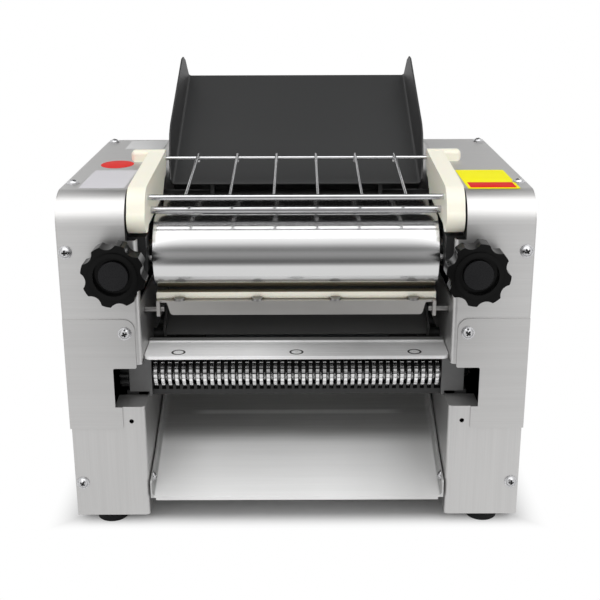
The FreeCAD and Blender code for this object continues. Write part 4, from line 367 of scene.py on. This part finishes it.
def softened(name, width, material, segments, angle=35.0):
    """A copy of a CAD node with its sharp edges rounded, which then stands for the node."""
    node = frame["nodes"][name]
    body = bmesh.new()
    body.from_mesh(node.data)
    bmesh.ops.remove_doubles(body, verts=body.verts, dist=SAME_POINT)
    bmesh.ops.dissolve_limit(body, angle_limit=math.radians(FLAT_DEGREES), verts=body.verts, edges=body.edges)
    mesh = bpy.data.meshes.new(name + "_soft")
    body.to_mesh(mesh)
    body.free()
    mesh.materials.clear()
    mesh.materials.append(material)
    made = bpy.data.objects.new(name + "_soft", mesh)
    bpy.context.scene.collection.objects.link(made)
    mesh.polygons.foreach_set("use_smooth", [True] * len(mesh.polygons))
    mesh.polygons.foreach_set("material_index", [0] * len(mesh.polygons))
    edge = made.modifiers.new("edges", "BEVEL")
    edge.width = width
    edge.segments = segments
    edge.limit_method = "ANGLE"
    edge.angle_limit = math.radians(angle)
    edge.use_clamp_overlap = True
    lie = made.modifiers.new("flats", "WEIGHTED_NORMAL")
    lie.weight = FLAT_WEIGHT
    lie.keep_sharp = False
    baked = bpy.data.meshes.new_from_object(made.evaluated_get(bpy.context.evaluated_depsgraph_get()))
    made.modifiers.clear()
    made.data = baked
    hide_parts(name)
    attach(made, node["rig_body"])


cover_steel = brushed_steel("cover_steel", "X", (0.585, 0.58, 0.575), 0.44)
side_steel = brushed_steel("side_steel", "XY", (0.54, 0.535, 0.53), 0.38)
lower_steel = brushed_steel("lower_steel", "Z", (0.56, 0.555, 0.55), 0.40, 0.85)
dress(cover_steel, "upper_cover_left", "upper_cover_right", "rear_cover", "base_plate")
dress(side_steel, "side_cover_left", "side_cover_right")
dress(lower_steel, "lower_cover_left", "lower_cover_right")


# Cover screws. M4 pan heads with a cross recess, each on a plain washer, bright zinc plated.
# They hold the covers at the front, the top, the sides and the rear, and smaller ones the chute.
HEAD_R, HEAD_H, WASHER_R, WASHER_T = 4.4, 2.6, 5.6, 0.9
UNDERCUT, WASHER_EDGE, WASHER_DROP, HOLE_R = 0.05, 0.25, 0.08, 0.2
CROSS_HALF, CROSS_REACH, CROSS_DEPTH, CROSS_WALL, CROSS_END = 0.62, 2.5, 1.9, 0.22, 0.9
DARK_DIP = 1.2
SCREW_AROUND, HEAD_RINGS = 72, 20
BODY_TOP, BODY_SIDE, BODY_REAR, LAP_T = 300.0, 195.0, 274.0, 1.2
TOP_SCREW_X, REAR_SCREW_X, CHUTE_SCREW_SHARE = 188.6, 181.0, 0.92
TURN_STEP, CROSS_TURN = 37, 90


def cross_dip(x, y):
    """How far down the cross recess is at this point of the head, from 0 to 1."""
    dip = 0.0
    for u, v in ((x, y), (y, x)):
        side = max(0.0, min(1.0, (CROSS_HALF - abs(u)) / CROSS_WALL + 0.5))
        reach = max(0.0, min(1.0, (CROSS_REACH - abs(v)) / CROSS_END))
        dip = max(dip, side * reach)
    return dip


def screw_mesh():
    """One screw in millimetres with its seat at zero and its head along +Z."""
    sphere = (HEAD_R ** 2 + HEAD_H ** 2) / (2 * HEAD_H)
    profile = []
    for i in range(1, HEAD_RINGS + 1):
        r = HEAD_R * i / HEAD_RINGS
        profile.append((r, WASHER_T + HEAD_H - sphere + math.sqrt(sphere ** 2 - r ** 2)))
    profile += [(HEAD_R - UNDERCUT, WASHER_T + UNDERCUT), (HEAD_R, WASHER_T),
                (WASHER_R - WASHER_EDGE, WASHER_T), (WASHER_R - UNDERCUT, WASHER_T - WASHER_DROP),
                (WASHER_R, WASHER_T - WASHER_EDGE), (WASHER_R, 0.0), (HOLE_R, 0.0)]
    points, deep = [(0.0, 0.0, WASHER_T + HEAD_H - CROSS_DEPTH)], [1.0]
    for r, z in profile:
        for j in range(SCREW_AROUND):
            a = 2 * math.pi * j / SCREW_AROUND
            x, y = r * math.cos(a), r * math.sin(a)
            dip = cross_dip(x, y) if z > WASHER_T + 2 * UNDERCUT else 0.0
            points.append((x, y, z - dip * CROSS_DEPTH))
            deep.append(dip)
    faces = [(0, 1 + j, 1 + (j + 1) % SCREW_AROUND) for j in range(SCREW_AROUND)]
    for i in range(len(profile) - 1):
        for j in range(SCREW_AROUND):
            a, b = 1 + i * SCREW_AROUND + j, 1 + i * SCREW_AROUND + (j + 1) % SCREW_AROUND
            faces.append((a, a + SCREW_AROUND, b + SCREW_AROUND, b))
    gap = HEAD_RINGS * SCREW_AROUND
    # Faces deep in the cross recess get painted shade; the seat line under the head is a dark joint.
    dark = [sum(deep[k] for k in face) > DARK_DIP or gap < min(face) <= gap + SCREW_AROUND
            for face in faces]
    return points, faces, dark


def screw_places():
    """Seat, direction and size share of each screw, in drawing millimetres."""
    front, top, rear = (0, -1, 0), (0, 0, 1), (0, 1, 0)
    places = []
    for side in (-1, 1):
        places += [((side * TOP_SCREW_X, 0, 252.6), front, 1.0),
                   ((side * TOP_SCREW_X, 48, BODY_TOP), top, 1.0),
                   ((side * TOP_SCREW_X, 261, BODY_TOP), top, 1.0),
                   ((side * 143.5, -LAP_T, 182.4), front, 1.0),
                   ((side * 187.4, 0, 43.5), front, 1.0),
                   ((side * 127.6, 14, 42.6), (-side, 0, 0), CHUTE_SCREW_SHARE)]
        for y, z in ((28, 109.5), (260, 109.5), (28, 272), (260, 272)):
            places.append(((side * BODY_SIDE, y, z), (side, 0, 0), 1.0))
        for z in (26, 150, 286):
            places.append(((side * REAR_SCREW_X, BODY_REAR, z), rear, 1.0))
    return places


def screw_look(place):
    wear = place.noise(900.0, 3.0)
    return {"Base_Color": wear.between(0.3, 0.7).blend((0.46, 0.46, 0.47), (0.62, 0.62, 0.63)),
            "Roughness": 0.20 + wear * 0.14}


# Painted shade for the cross recess, and a dark joint at the head's seat.
def recess_look(place):
    recess_mottle = place.noise(1500.0, 2.0)
    return {"Base_Color": recess_mottle.blend((0.010, 0.010, 0.010), (0.05, 0.05, 0.05)),
            "Roughness": 0.5 + recess_mottle * 0.3}


screw_steel = surface("screw_steel", screw_look, Metallic=1.0)
screw_recess = surface("screw_recess", recess_look)
screw_points, screw_faces, screw_dark = screw_mesh()
for number, (seat, axis, share) in enumerate(screw_places()):
    turn = Vector((0, 0, 1)).rotation_difference(Vector(axis)).to_matrix()
    spin = Matrix.Rotation(math.radians(TURN_STEP * number % CROSS_TURN), 3, "Z")
    moved = [at(*seat) + turn @ spin @ Vector(p) * (MM * share) for p in screw_points]
    screw = solid("cover_screw_%02d" % number, moved, screw_faces, screw_steel)
    screw.data.materials.append(screw_recess)
    screw.data.polygons.foreach_set("material_index", [int(dark) for dark in screw_dark])
    shaded(screw, 50.0)
    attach(screw, "housing")
    if number == 0:
        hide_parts("cover_screws")


# Feet. Four cones of moulded black rubber, screwed under the corners of the base plate. They keep
# the machine from walking while it runs.
FOOT_EDGE = 1.2 * MM


def rubber_look(place):
    skin = place.noise(1400.0, 4.0)
    return {"Base_Color": place.noise(40.0, 2.0).blend((0.008, 0.008, 0.009), (0.018, 0.018, 0.019)),
            "Roughness": 0.62 + skin * 0.15, "Normal": skin.bump(0.00006, 0.4)}


rubber = surface("black_rubber", rubber_look, Specular_IOR_Level=0.15)
softened("feet", FOOT_EDGE, rubber, 3)


# Frame. Two plates cast in iron and painted black, joined by blacked tie rods; the pins that carry the
# guard, the scraper and the tray are blacked too.

def cast_look(place):
    skin = place.noise(700.0, 5.0)
    return {"Base_Color": place.noise(60.0, 3.0).blend((0.018, 0.018, 0.018), (0.05, 0.05, 0.05)),
            "Roughness": 0.5 + skin * 0.2, "Normal": skin.bump(0.0002, 0.5)}


def blacked_look(place):
    cloud = place.noise(90.0, 4.0)
    return {"Base_Color": cloud.blend((0.010, 0.010, 0.010), (0.022, 0.022, 0.022)),
            "Roughness": 0.42 + cloud * 0.2, "Normal": place.noise(900.0).bump(0.00003, 0.4)}


cast_iron = surface("cast_iron", cast_look)
blacked = surface("blacked_steel", blacked_look)
dress(cast_iron, "frame_plate_left", "frame_plate_right", "shaft_housing")
dress(blacked, "tie_rods", "frame_pins", "tray_support")


# Pressing rollers. Hard-chromed steel, ground and polished, with faint rings left by the wheel. The
# rear one is shaded by the tray: its chrome is a darker copy, painted shade.

def ground_chrome(name, grey):
    def look(place):
        rings = place.noise(420.0, 3.0, (1.0, 0.001, 0.001))
        film = place.noise(14.0, 3.0)
        streaks = place.noise(60.0, 4.0, (0.20, 1.0, 1.0))
        return {"Base_Color": film.blend(tuple(c * 0.96 for c in grey), tuple(c * 1.04 for c in grey)),
                "Roughness": 0.12 + rings * 0.04 + film * 0.03,
                "Normal": (rings * 0.1 + streaks * 0.9).bump(0.00004, 0.4)}
    return surface(name, look, Metallic=1.0)


dress(ground_chrome("roller_chrome", (0.635, 0.635, 0.635)), "front_roller")
# Painted shade: the rear roller's chrome is a darker copy of the front one's.
dress(ground_chrome("shaded_chrome", (0.30, 0.30, 0.295)), "rear_roller")


# Drive. Cut steel gears with a film of oil, iron pulleys, a rubber belt and a grey painted motor. All
# of it sits inside the covers; the cutter's own gears are blacked.

def plated_look(place):
    cloud = place.noise(120.0, 4.0)
    return {"Base_Color": cloud.blend((0.42, 0.41, 0.38), (0.62, 0.61, 0.58)),
            "Roughness": 0.28 + cloud * 0.16, "Normal": place.noise(1300.0).bump(0.00002, 0.4)}


def gear_look(place):
    oil = place.noise(55.0, 4.0)
    return {"Base_Color": oil.blend((0.16, 0.15, 0.14), (0.42, 0.42, 0.42)), "Roughness": 0.25 + oil * 0.25,
            "Normal": place.noise(900.0).bump(0.00003, 0.4)}


def motor_look(place):
    skin = place.noise(900.0, 3.0)
    return {"Base_Color": place.noise(30.0).blend((0.10, 0.11, 0.12), (0.15, 0.16, 0.17)),
            "Roughness": 0.38 + skin * 0.15, "Normal": skin.bump(0.00008, 0.4)}


plated = surface("zinc_plated", plated_look, Metallic=1.0)
gear_steel = surface("gear_steel", gear_look, Metallic=1.0)
motor_paint = surface("motor_paint", motor_look)
dress(gear_steel, "main_gear", "idler_gear", "rear_roller_gear", "front_roller_gear", "pinion_shaft",
      "front_bearings", "rear_bearings", "belt_pulley", "motor_pulley")
dress(blacked, "front_cutter_gear", "rear_cutter_gears")
dress(motor_paint, "motor")
dress(plated, "motor_shaft")
dress(rubber, "drive_belt")


# Bearing blocks. Machined iron, painted satin black. They slide in the frame plates and carry the front
# roller with them.
BLOCK_EDGE = 0.7 * MM


def block_look(place):
    skin = place.noise(500.0, 4.0)
    return {"Base_Color": place.noise(35.0, 3.0).blend((0.010, 0.010, 0.010), (0.028, 0.028, 0.029)),
            "Roughness": 0.30 + skin * 0.12, "Normal": skin.bump(0.00008, 0.4)}


block_paint = surface("block_paint", block_look)
softened("bearing_blocks", BLOCK_EDGE, block_paint, 2)


# Knobs. Glossy black phenolic stars with an inset cap, moulded on a hub. Each turns a zinc-plated
# adjusting screw.
KNOB_EDGE, CAP_EDGE, KNOB_ANGLE = 0.9 * MM, 0.4 * MM, 30.0


def knob_look(place):
    flow = place.noise(60.0, 3.0)
    return {"Base_Color": flow.blend((0.003, 0.003, 0.003), (0.007, 0.007, 0.007)),
            "Roughness": 0.10 + flow * 0.08, "Normal": place.noise(700.0, 3.0).bump(0.00002, 0.25)}


def cap_look(place):
    """The caps are fine-grained and a little greyer than the stars."""
    skin = place.noise(1100.0, 3.0)
    return {"Base_Color": place.noise(60.0, 3.0).blend((0.007, 0.007, 0.008), (0.013, 0.013, 0.014)),
            "Roughness": 0.22 + skin * 0.12, "Normal": skin.bump(0.00003, 0.35)}


knob_black = surface("knob_black", knob_look, Specular_IOR_Level=0.08)
cap_black = surface("cap_black", cap_look, Specular_IOR_Level=0.16)
for side in ("left", "right"):
    softened("knob_" + side, KNOB_EDGE, knob_black, 3, KNOB_ANGLE)
    softened("knob_cap_" + side, CAP_EDGE, cap_black, 3, KNOB_ANGLE)
dress(plated, "adjusting_screw_left", "adjusting_screw_right")


# Finger guard. Two cream nylon mouldings carry three chromed rods; six chromed wires are hooked over
# the rods.
BRACKET_EDGE = 1.6 * MM


def nylon_look(place):
    skin = place.noise(800.0, 3.0)
    cloud = place.noise(16.0, 2.0)
    return {"Base_Color": cloud.blend((0.96, 0.925, 0.77), (0.99, 0.955, 0.82)),
            "Roughness": 0.40 + skin * 0.12, "Normal": skin.bump(0.00006, 0.3)}


def chrome_look(place):
    film = place.noise(90.0, 3.0)
    return {"Base_Color": film.blend((0.50, 0.50, 0.51), (0.66, 0.66, 0.67)),
            "Roughness": 0.12 + film * 0.10}


nylon = surface("cream_nylon", nylon_look, Subsurface_Weight=0.15, Subsurface_Scale=0.004)
chrome = surface("chrome", chrome_look, Metallic=1.0)
for side in ("left", "right"):
    softened("guard_bracket_" + side, BRACKET_EDGE, nylon, 4)
dress(chrome, "guard_rods", "guard_wires")


# Feed tray. Folded steel sheet with a matt black powder coat, fine as orange peel. It hooks over the
# pins behind the rollers.
TRAY_EDGE = 0.4 * MM


def tray_look(place):
    peel = place.noise(850.0, 2.0)
    cloud = place.noise(9.0, 3.0)
    # Painted shade: faces turned to the sides are darker than the rest of the coat.
    sides = abs(place.node("ShaderNodeTexCoord", {}, {}, "Normal").axis("X")).between(0.4, 0.8)
    coat = cloud.blend((0.030, 0.0305, 0.031), (0.038, 0.0385, 0.039))
    return {"Base_Color": sides.blend(coat, (0.016, 0.016, 0.0165)),
            "Roughness": 0.46 + peel * 0.10, "Normal": peel.bump(0.00010, 0.35)}


tray_coat = surface("tray_coat", tray_look)
softened("feed_tray", TRAY_EDGE, tray_coat, 2)


# Scrapers. Cream plastic bars that lie under the rollers; the front one is held on a plated steel angle
# by four button screws.
SCRAPER_EDGE, ANGLE_EDGE = 0.5 * MM, 0.3 * MM
# How near another piece must be for the scraper's painted shade.
SCRAPER_SHADE_DISTANCE = 0.012


def openness(place, distance):
    """How open a spot is: 1 in the open, less where other pieces stand within this distance."""
    return place.node("ShaderNodeAmbientOcclusion", {"samples": 8}, {"Distance": distance}, "AO")


def scraper_look(place):
    """Cream, with painted shade in brown where it lies close under a roller."""
    skin = place.noise(650.0, 3.0)
    # Painted shade from how open each spot is.
    reach = openness(place, SCRAPER_SHADE_DISTANCE).between(0.46, 0.62)
    cream = place.noise(22.0).blend((0.94, 0.91, 0.77), (0.98, 0.95, 0.84))
    return {"Base_Color": reach.blend((0.20, 0.17, 0.11), cream),
            "Roughness": 0.36 + skin * 0.12, "Normal": skin.bump(0.00006, 0.3)}


def angle_look(place):
    cloud = place.noise(30.0, 4.0)
    lines = place.noise(700.0, 3.0, (0.02, 1.0, 1.0))
    return {"Base_Color": cloud.blend((0.40, 0.39, 0.375), (0.50, 0.49, 0.475)),
            "Roughness": 0.34 + lines * 0.14, "Normal": lines.bump(0.00003, 0.4)}


scraper_cream = surface("scraper_cream", scraper_look, Subsurface_Weight=0.10, Subsurface_Scale=0.003)
angle_steel = surface("angle_steel", angle_look, Metallic=1.0)
for name in ("front_scraper", "rear_scraper"):
    softened(name, SCRAPER_EDGE, scraper_cream, 3)
softened("scraper_bracket", ANGLE_EDGE, angle_steel, 2)
dress(gear_steel, "scraper_screws")
dress(plated, "rear_scraper_bracket")


# Dough guide. Black enamelled sheet, bolted between the frame plates. It leads the dough down to the
# cutters.

def guide_look(place):
    skin = place.noise(120.0, 2.0)
    return {"Base_Color": place.noise(20.0).blend((0.085, 0.085, 0.084), (0.120, 0.120, 0.119)),
            "Roughness": 0.26 + skin * 0.10, "Normal": skin.bump(0.00002, 0.15)}


guide_enamel = surface("guide_enamel", guide_look)
dress(guide_enamel, "dough_guide")


# Cutter unit. A polished bar with three countersunk screws ties two blackened end blocks, in which the
# knurled cutters and their combs sit.
BAR_EDGE = 0.7 * MM
BAR_SCREWS_PITCH, BAR_SCREWS_Y, BAR_SINK_R = 101.0, 14.0, 5.4
SINK_RING, BAR_DRIVE = (-1.2, -0.9, 0.5, 0.8), (1.6, 1.2)
# Heights of the bar's top face, of the painted shade below the bar, and of the lip's top with its painted
# shade.
BAR_FACE, BAR_SHADED_UNDER, BAR_SHADED_LIP = (161.0, 160.5), (156.9, 156.5), (160.9, 161.9)
# Across this width the painted reflection on the bar dims to the right.
BAR_DIMMING = (-0.050, 0.045)
# How near other steel must be for the cutters' painted shade.
CUTTER_SHADE_DISTANCE = 0.050


def bar_look(place):
    """Painted reflection: bright at the left, darker at the right. A black joint round each screw head;
    painted shade, black in the heads' drives and under the bar, dark grey on the lip's top.
    """
    lines = place.noise(900.0, 3.0, (0.01, 1.0, 1.0))
    film = place.noise(25.0, 3.0)
    pitch = BAR_SCREWS_PITCH * MM
    height = place.axis("Z") * (1.0 / MM)
    side = place.axis("X").math("WRAP", place.axis("X"), pitch / 2, -pitch / 2)
    depth = place.axis("Y") - (BAR_SCREWS_Y - DEPTH_SHIFT) * MM
    from_screw = side.math("SQRT", side * side + depth * depth) * (1.0 / MM)
    ring = from_screw.band(*(BAR_SINK_R + offset for offset in SINK_RING))
    # A dark joint round each head; painted shade in its drive and, below, under the bar.
    joints_and_shade = (ring | from_screw.between(*BAR_DRIVE)) * height.between(*BAR_FACE)
    joints_and_shade = joints_and_shade | height.between(*BAR_SHADED_UNDER)
    # Painted reflection, dimming towards the right.
    painted_dimming = (place.axis("X") + (film - 0.5) * 0.03).between(*BAR_DIMMING)
    tone = (film * 0.5 + lines * 0.5).between(0.3, 0.7)
    steel = painted_dimming.blend(tone.blend((0.90, 0.90, 0.90), (1.0, 1.0, 1.0)),
                       tone.blend((0.62, 0.62, 0.62), (0.82, 0.82, 0.82)))
    # Painted shade: the lip's top is dark grey.
    steel = height.between(*BAR_SHADED_LIP).blend(steel, (0.09, 0.09, 0.088))
    return {"Base_Color": joints_and_shade.blend(steel, (0.012, 0.012, 0.012)), "Metallic": 0.06 + painted_dimming * 0.34,
            "Roughness": 0.36 + lines * 0.14, "Normal": lines.bump(0.00002, 0.4)}


def cutter_look(place):
    """Painted shade: black where the discs lie close to other steel, bright where they stand in the open."""
    wear = place.noise(260.0, 4.0)
    # Painted shade from how open each spot is.
    reach = openness(place, CUTTER_SHADE_DISTANCE).between(0.53, 0.59)
    steel = wear.blend((0.80, 0.80, 0.80), (1.0, 1.0, 1.0))
    return {"Base_Color": reach.blend((0.015, 0.015, 0.015), steel), "Roughness": 0.24 + wear * 0.18}


def black_look(place):
    cloud = place.noise(70.0, 4.0)
    return {"Base_Color": cloud.blend((0.10, 0.10, 0.10), (0.18, 0.18, 0.18)),
            "Roughness": 0.36 + cloud * 0.16, "Normal": place.noise(900.0).bump(0.00004, 0.4)}


bar_steel = surface("bar_steel", bar_look)
cutter_steel = surface("cutter_steel", cutter_look, Metallic=1.0)
blackened = surface("blackened_steel", black_look, Metallic=0.6)
softened("cutter_bar", BAR_EDGE, bar_steel, 3)
dress(bar_steel, "cutter_bar_screws")
dress(cutter_steel, "front_cutter", "rear_cutter")
dress(blackened, "cutter_end_blocks")
dress(blacked, "cutter_combs")


# Discharge chute. One folded stainless sheet between the towers, its grain across the machine. Painted light
# lies in front; painted shade at the back, by the side walls and to the right; a painted highlight on a bend.
# Depths over which painted light in front gives way to painted shade behind, and of a painted highlight on
# the bend.
CHUTE_LIT_SPAN, BEND_HIGHLIGHT = (84.0, 60.0), (99.0, 102.0, 104.0, 107.0)
# The floor's width, the painted highlight's reach, and where painted shade falls by the side walls and to the
# right.
CHUTE_FACE, BEND_REACH, SIDE_SHADE, RIGHT_SHADE = (126.2, 125.0), (105.0, 85.0), (70.0, 124.0), (20.0, 95.0)


def chute_look(place):
    fine = place.noise(1500.0, 4.0, grain("X"))
    coarse = place.noise(190.0, 3.0, grain("X"))
    cloud = place.noise(9.0, 2.0)
    tone = (fine * 0.3 + coarse * 0.3 + cloud * 0.4).between(0.25, 0.75)
    across = place.axis("X") * (1.0 / MM)
    back = place.axis("Y") * (1.0 / MM) + DEPTH_SHIFT
    side = abs(across)
    # Painted light over the front of the floor, painted shade at the back.
    painted_front_light = (back + (cloud - 0.5) * 10.0).between(*CHUTE_LIT_SPAN) * side.between(*CHUTE_FACE)
    # Painted highlight along the bend.
    line = back.band(*BEND_HIGHLIGHT) * side.between(*BEND_REACH)
    shaded_rear = (line * 0.8 + tone * 0.4).blend((0.46, 0.46, 0.455), (0.88, 0.88, 0.875))
    bright = tone.blend((0.90, 0.90, 0.895), (1.0, 1.0, 0.995))
    # Painted shade near the side walls and towards the right.
    shade = side.between(*SIDE_SHADE) * 0.6 + across.between(*RIGHT_SHADE) * 0.5
    bright = shade.blend(bright, (0.66, 0.66, 0.655))
    return {"Base_Color": painted_front_light.blend(shaded_rear, bright),
            "Roughness": 0.60 + (coarse - 0.5) * 0.08, "Metallic": 0.80 - painted_front_light * 0.75,
            "Normal": (fine * 0.7 + coarse * 0.3).bump(GRAIN_DEPTH, 0.30)}


chute_steel = surface("chute_steel", chute_look)
dress(chute_steel, "discharge_chute")


# Switch and cable gland. Moulded in black plastic; the switch snaps into the left side cover and the
# gland is screwed into the rear cover.
SWITCH_EDGE, ROCKER_EDGE = 0.5 * MM, 0.4 * MM


def switch_look(place):
    skin = place.noise(900.0, 3.0)
    return {"Base_Color": place.noise(50.0).blend((0.012, 0.012, 0.013), (0.024, 0.024, 0.025)),
            "Roughness": 0.36 + skin * 0.14, "Normal": skin.bump(0.00005, 0.3)}


switch_black = surface("switch_black", switch_look)
softened("power_switch", SWITCH_EDGE, switch_black, 2)
softened("switch_rocker", ROCKER_EDGE, switch_black, 2)
softened("cable_gland", SWITCH_EDGE, switch_black, 2)


# Stickers. Thin plain film on the tower tops, without words or signs: a red oval, a grey and a pale
# plate, and a yellow one with a red band laid on it.
STICKER_T, GLUE_T, EDGE_SHARE, INSET_SHARE = 0.18, 0.02, 0.7, 0.012
OVAL_MIDDLE, OVAL_HALF, OVAL_STEP = (-165.0, 134.5), (15.0, 19.0), 6
CORNER_STEPS, CORNER_DEGREES = 7, 15


def sticker(name, outline, material, under=0.0):
    """A film from its outline in drawing millimetres, laid this far above the tower's top."""
    count, top = len(outline), BODY_TOP + under
    middle = (sum(x for x, y in outline) / count, sum(y for x, y in outline) / count)
    inner = [(x + (middle[0] - x) * INSET_SHARE, y + (middle[1] - y) * INSET_SHARE) for x, y in outline]
    points = [at(x, y, top + GLUE_T) for x, y in outline]
    points += [at(x, y, top + STICKER_T * EDGE_SHARE) for x, y in outline]
    points += [at(x, y, top + STICKER_T) for x, y in inner]
    faces = [tuple(range(count - 1, -1, -1)), tuple(range(2 * count, 3 * count))]
    for ring in (0, count):
        for i in range(count):
            j = (i + 1) % count
            faces.append((ring + i, ring + j, ring + count + j, ring + count + i))
    made = solid(name, points, faces, material)
    shaded(made, 40.0)
    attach(made, "housing")


def rounded_box(x0, x1, y0, y1, r):
    """The outline of a film with rounded corners."""
    corners = ((x1 - r, y1 - r), (x0 + r, y1 - r), (x0 + r, y0 + r), (x1 - r, y0 + r))
    line = []
    for quarter, (cx, cy) in enumerate(corners):
        for step in range(CORNER_STEPS):
            a = math.radians(quarter * 90 + step * CORNER_DEGREES)
            line.append((cx + r * math.cos(a), cy + r * math.sin(a)))
    return line


def oval():
    """The outline of the oval film."""
    return [(OVAL_MIDDLE[0] + OVAL_HALF[0] * math.cos(math.radians(a)),
             OVAL_MIDDLE[1] + OVAL_HALF[1] * math.sin(math.radians(a))) for a in range(0, 360, OVAL_STEP)]


def film(name, base):
    """Plain film of one colour, a little uneven and almost matt."""
    def look(place):
        skin = place.noise(1200.0, 2.0)
        fade = place.noise(30.0, 2.0)
        return {"Base_Color": fade.blend(tuple(c * 0.94 for c in base), base),
                "Roughness": 0.50 + skin * 0.1}
    return surface(name, look, Specular_IOR_Level=0.03)


sticker("sticker_oval", oval(), film("film_red", (0.74, 0.04, 0.035)))
sticker("sticker_plain_left", rounded_box(-180, -142, 28, 105, 2.0), film("film_grey", (0.66, 0.65, 0.68)))
sticker("sticker_plain_rear", rounded_box(-171, -133, 218, 267, 2.0), film("film_pale", (0.70, 0.70, 0.70)))
sticker("sticker_yellow", rounded_box(142, 185, 21, 102, 2.0), film("film_yellow", (0.99, 0.92, 0.003)))
sticker("sticker_red_band", rounded_box(144.5, 182.5, 25, 46, 0.8), film("film_band", (0.76, 0.015, 0.01)),
        STICKER_T)
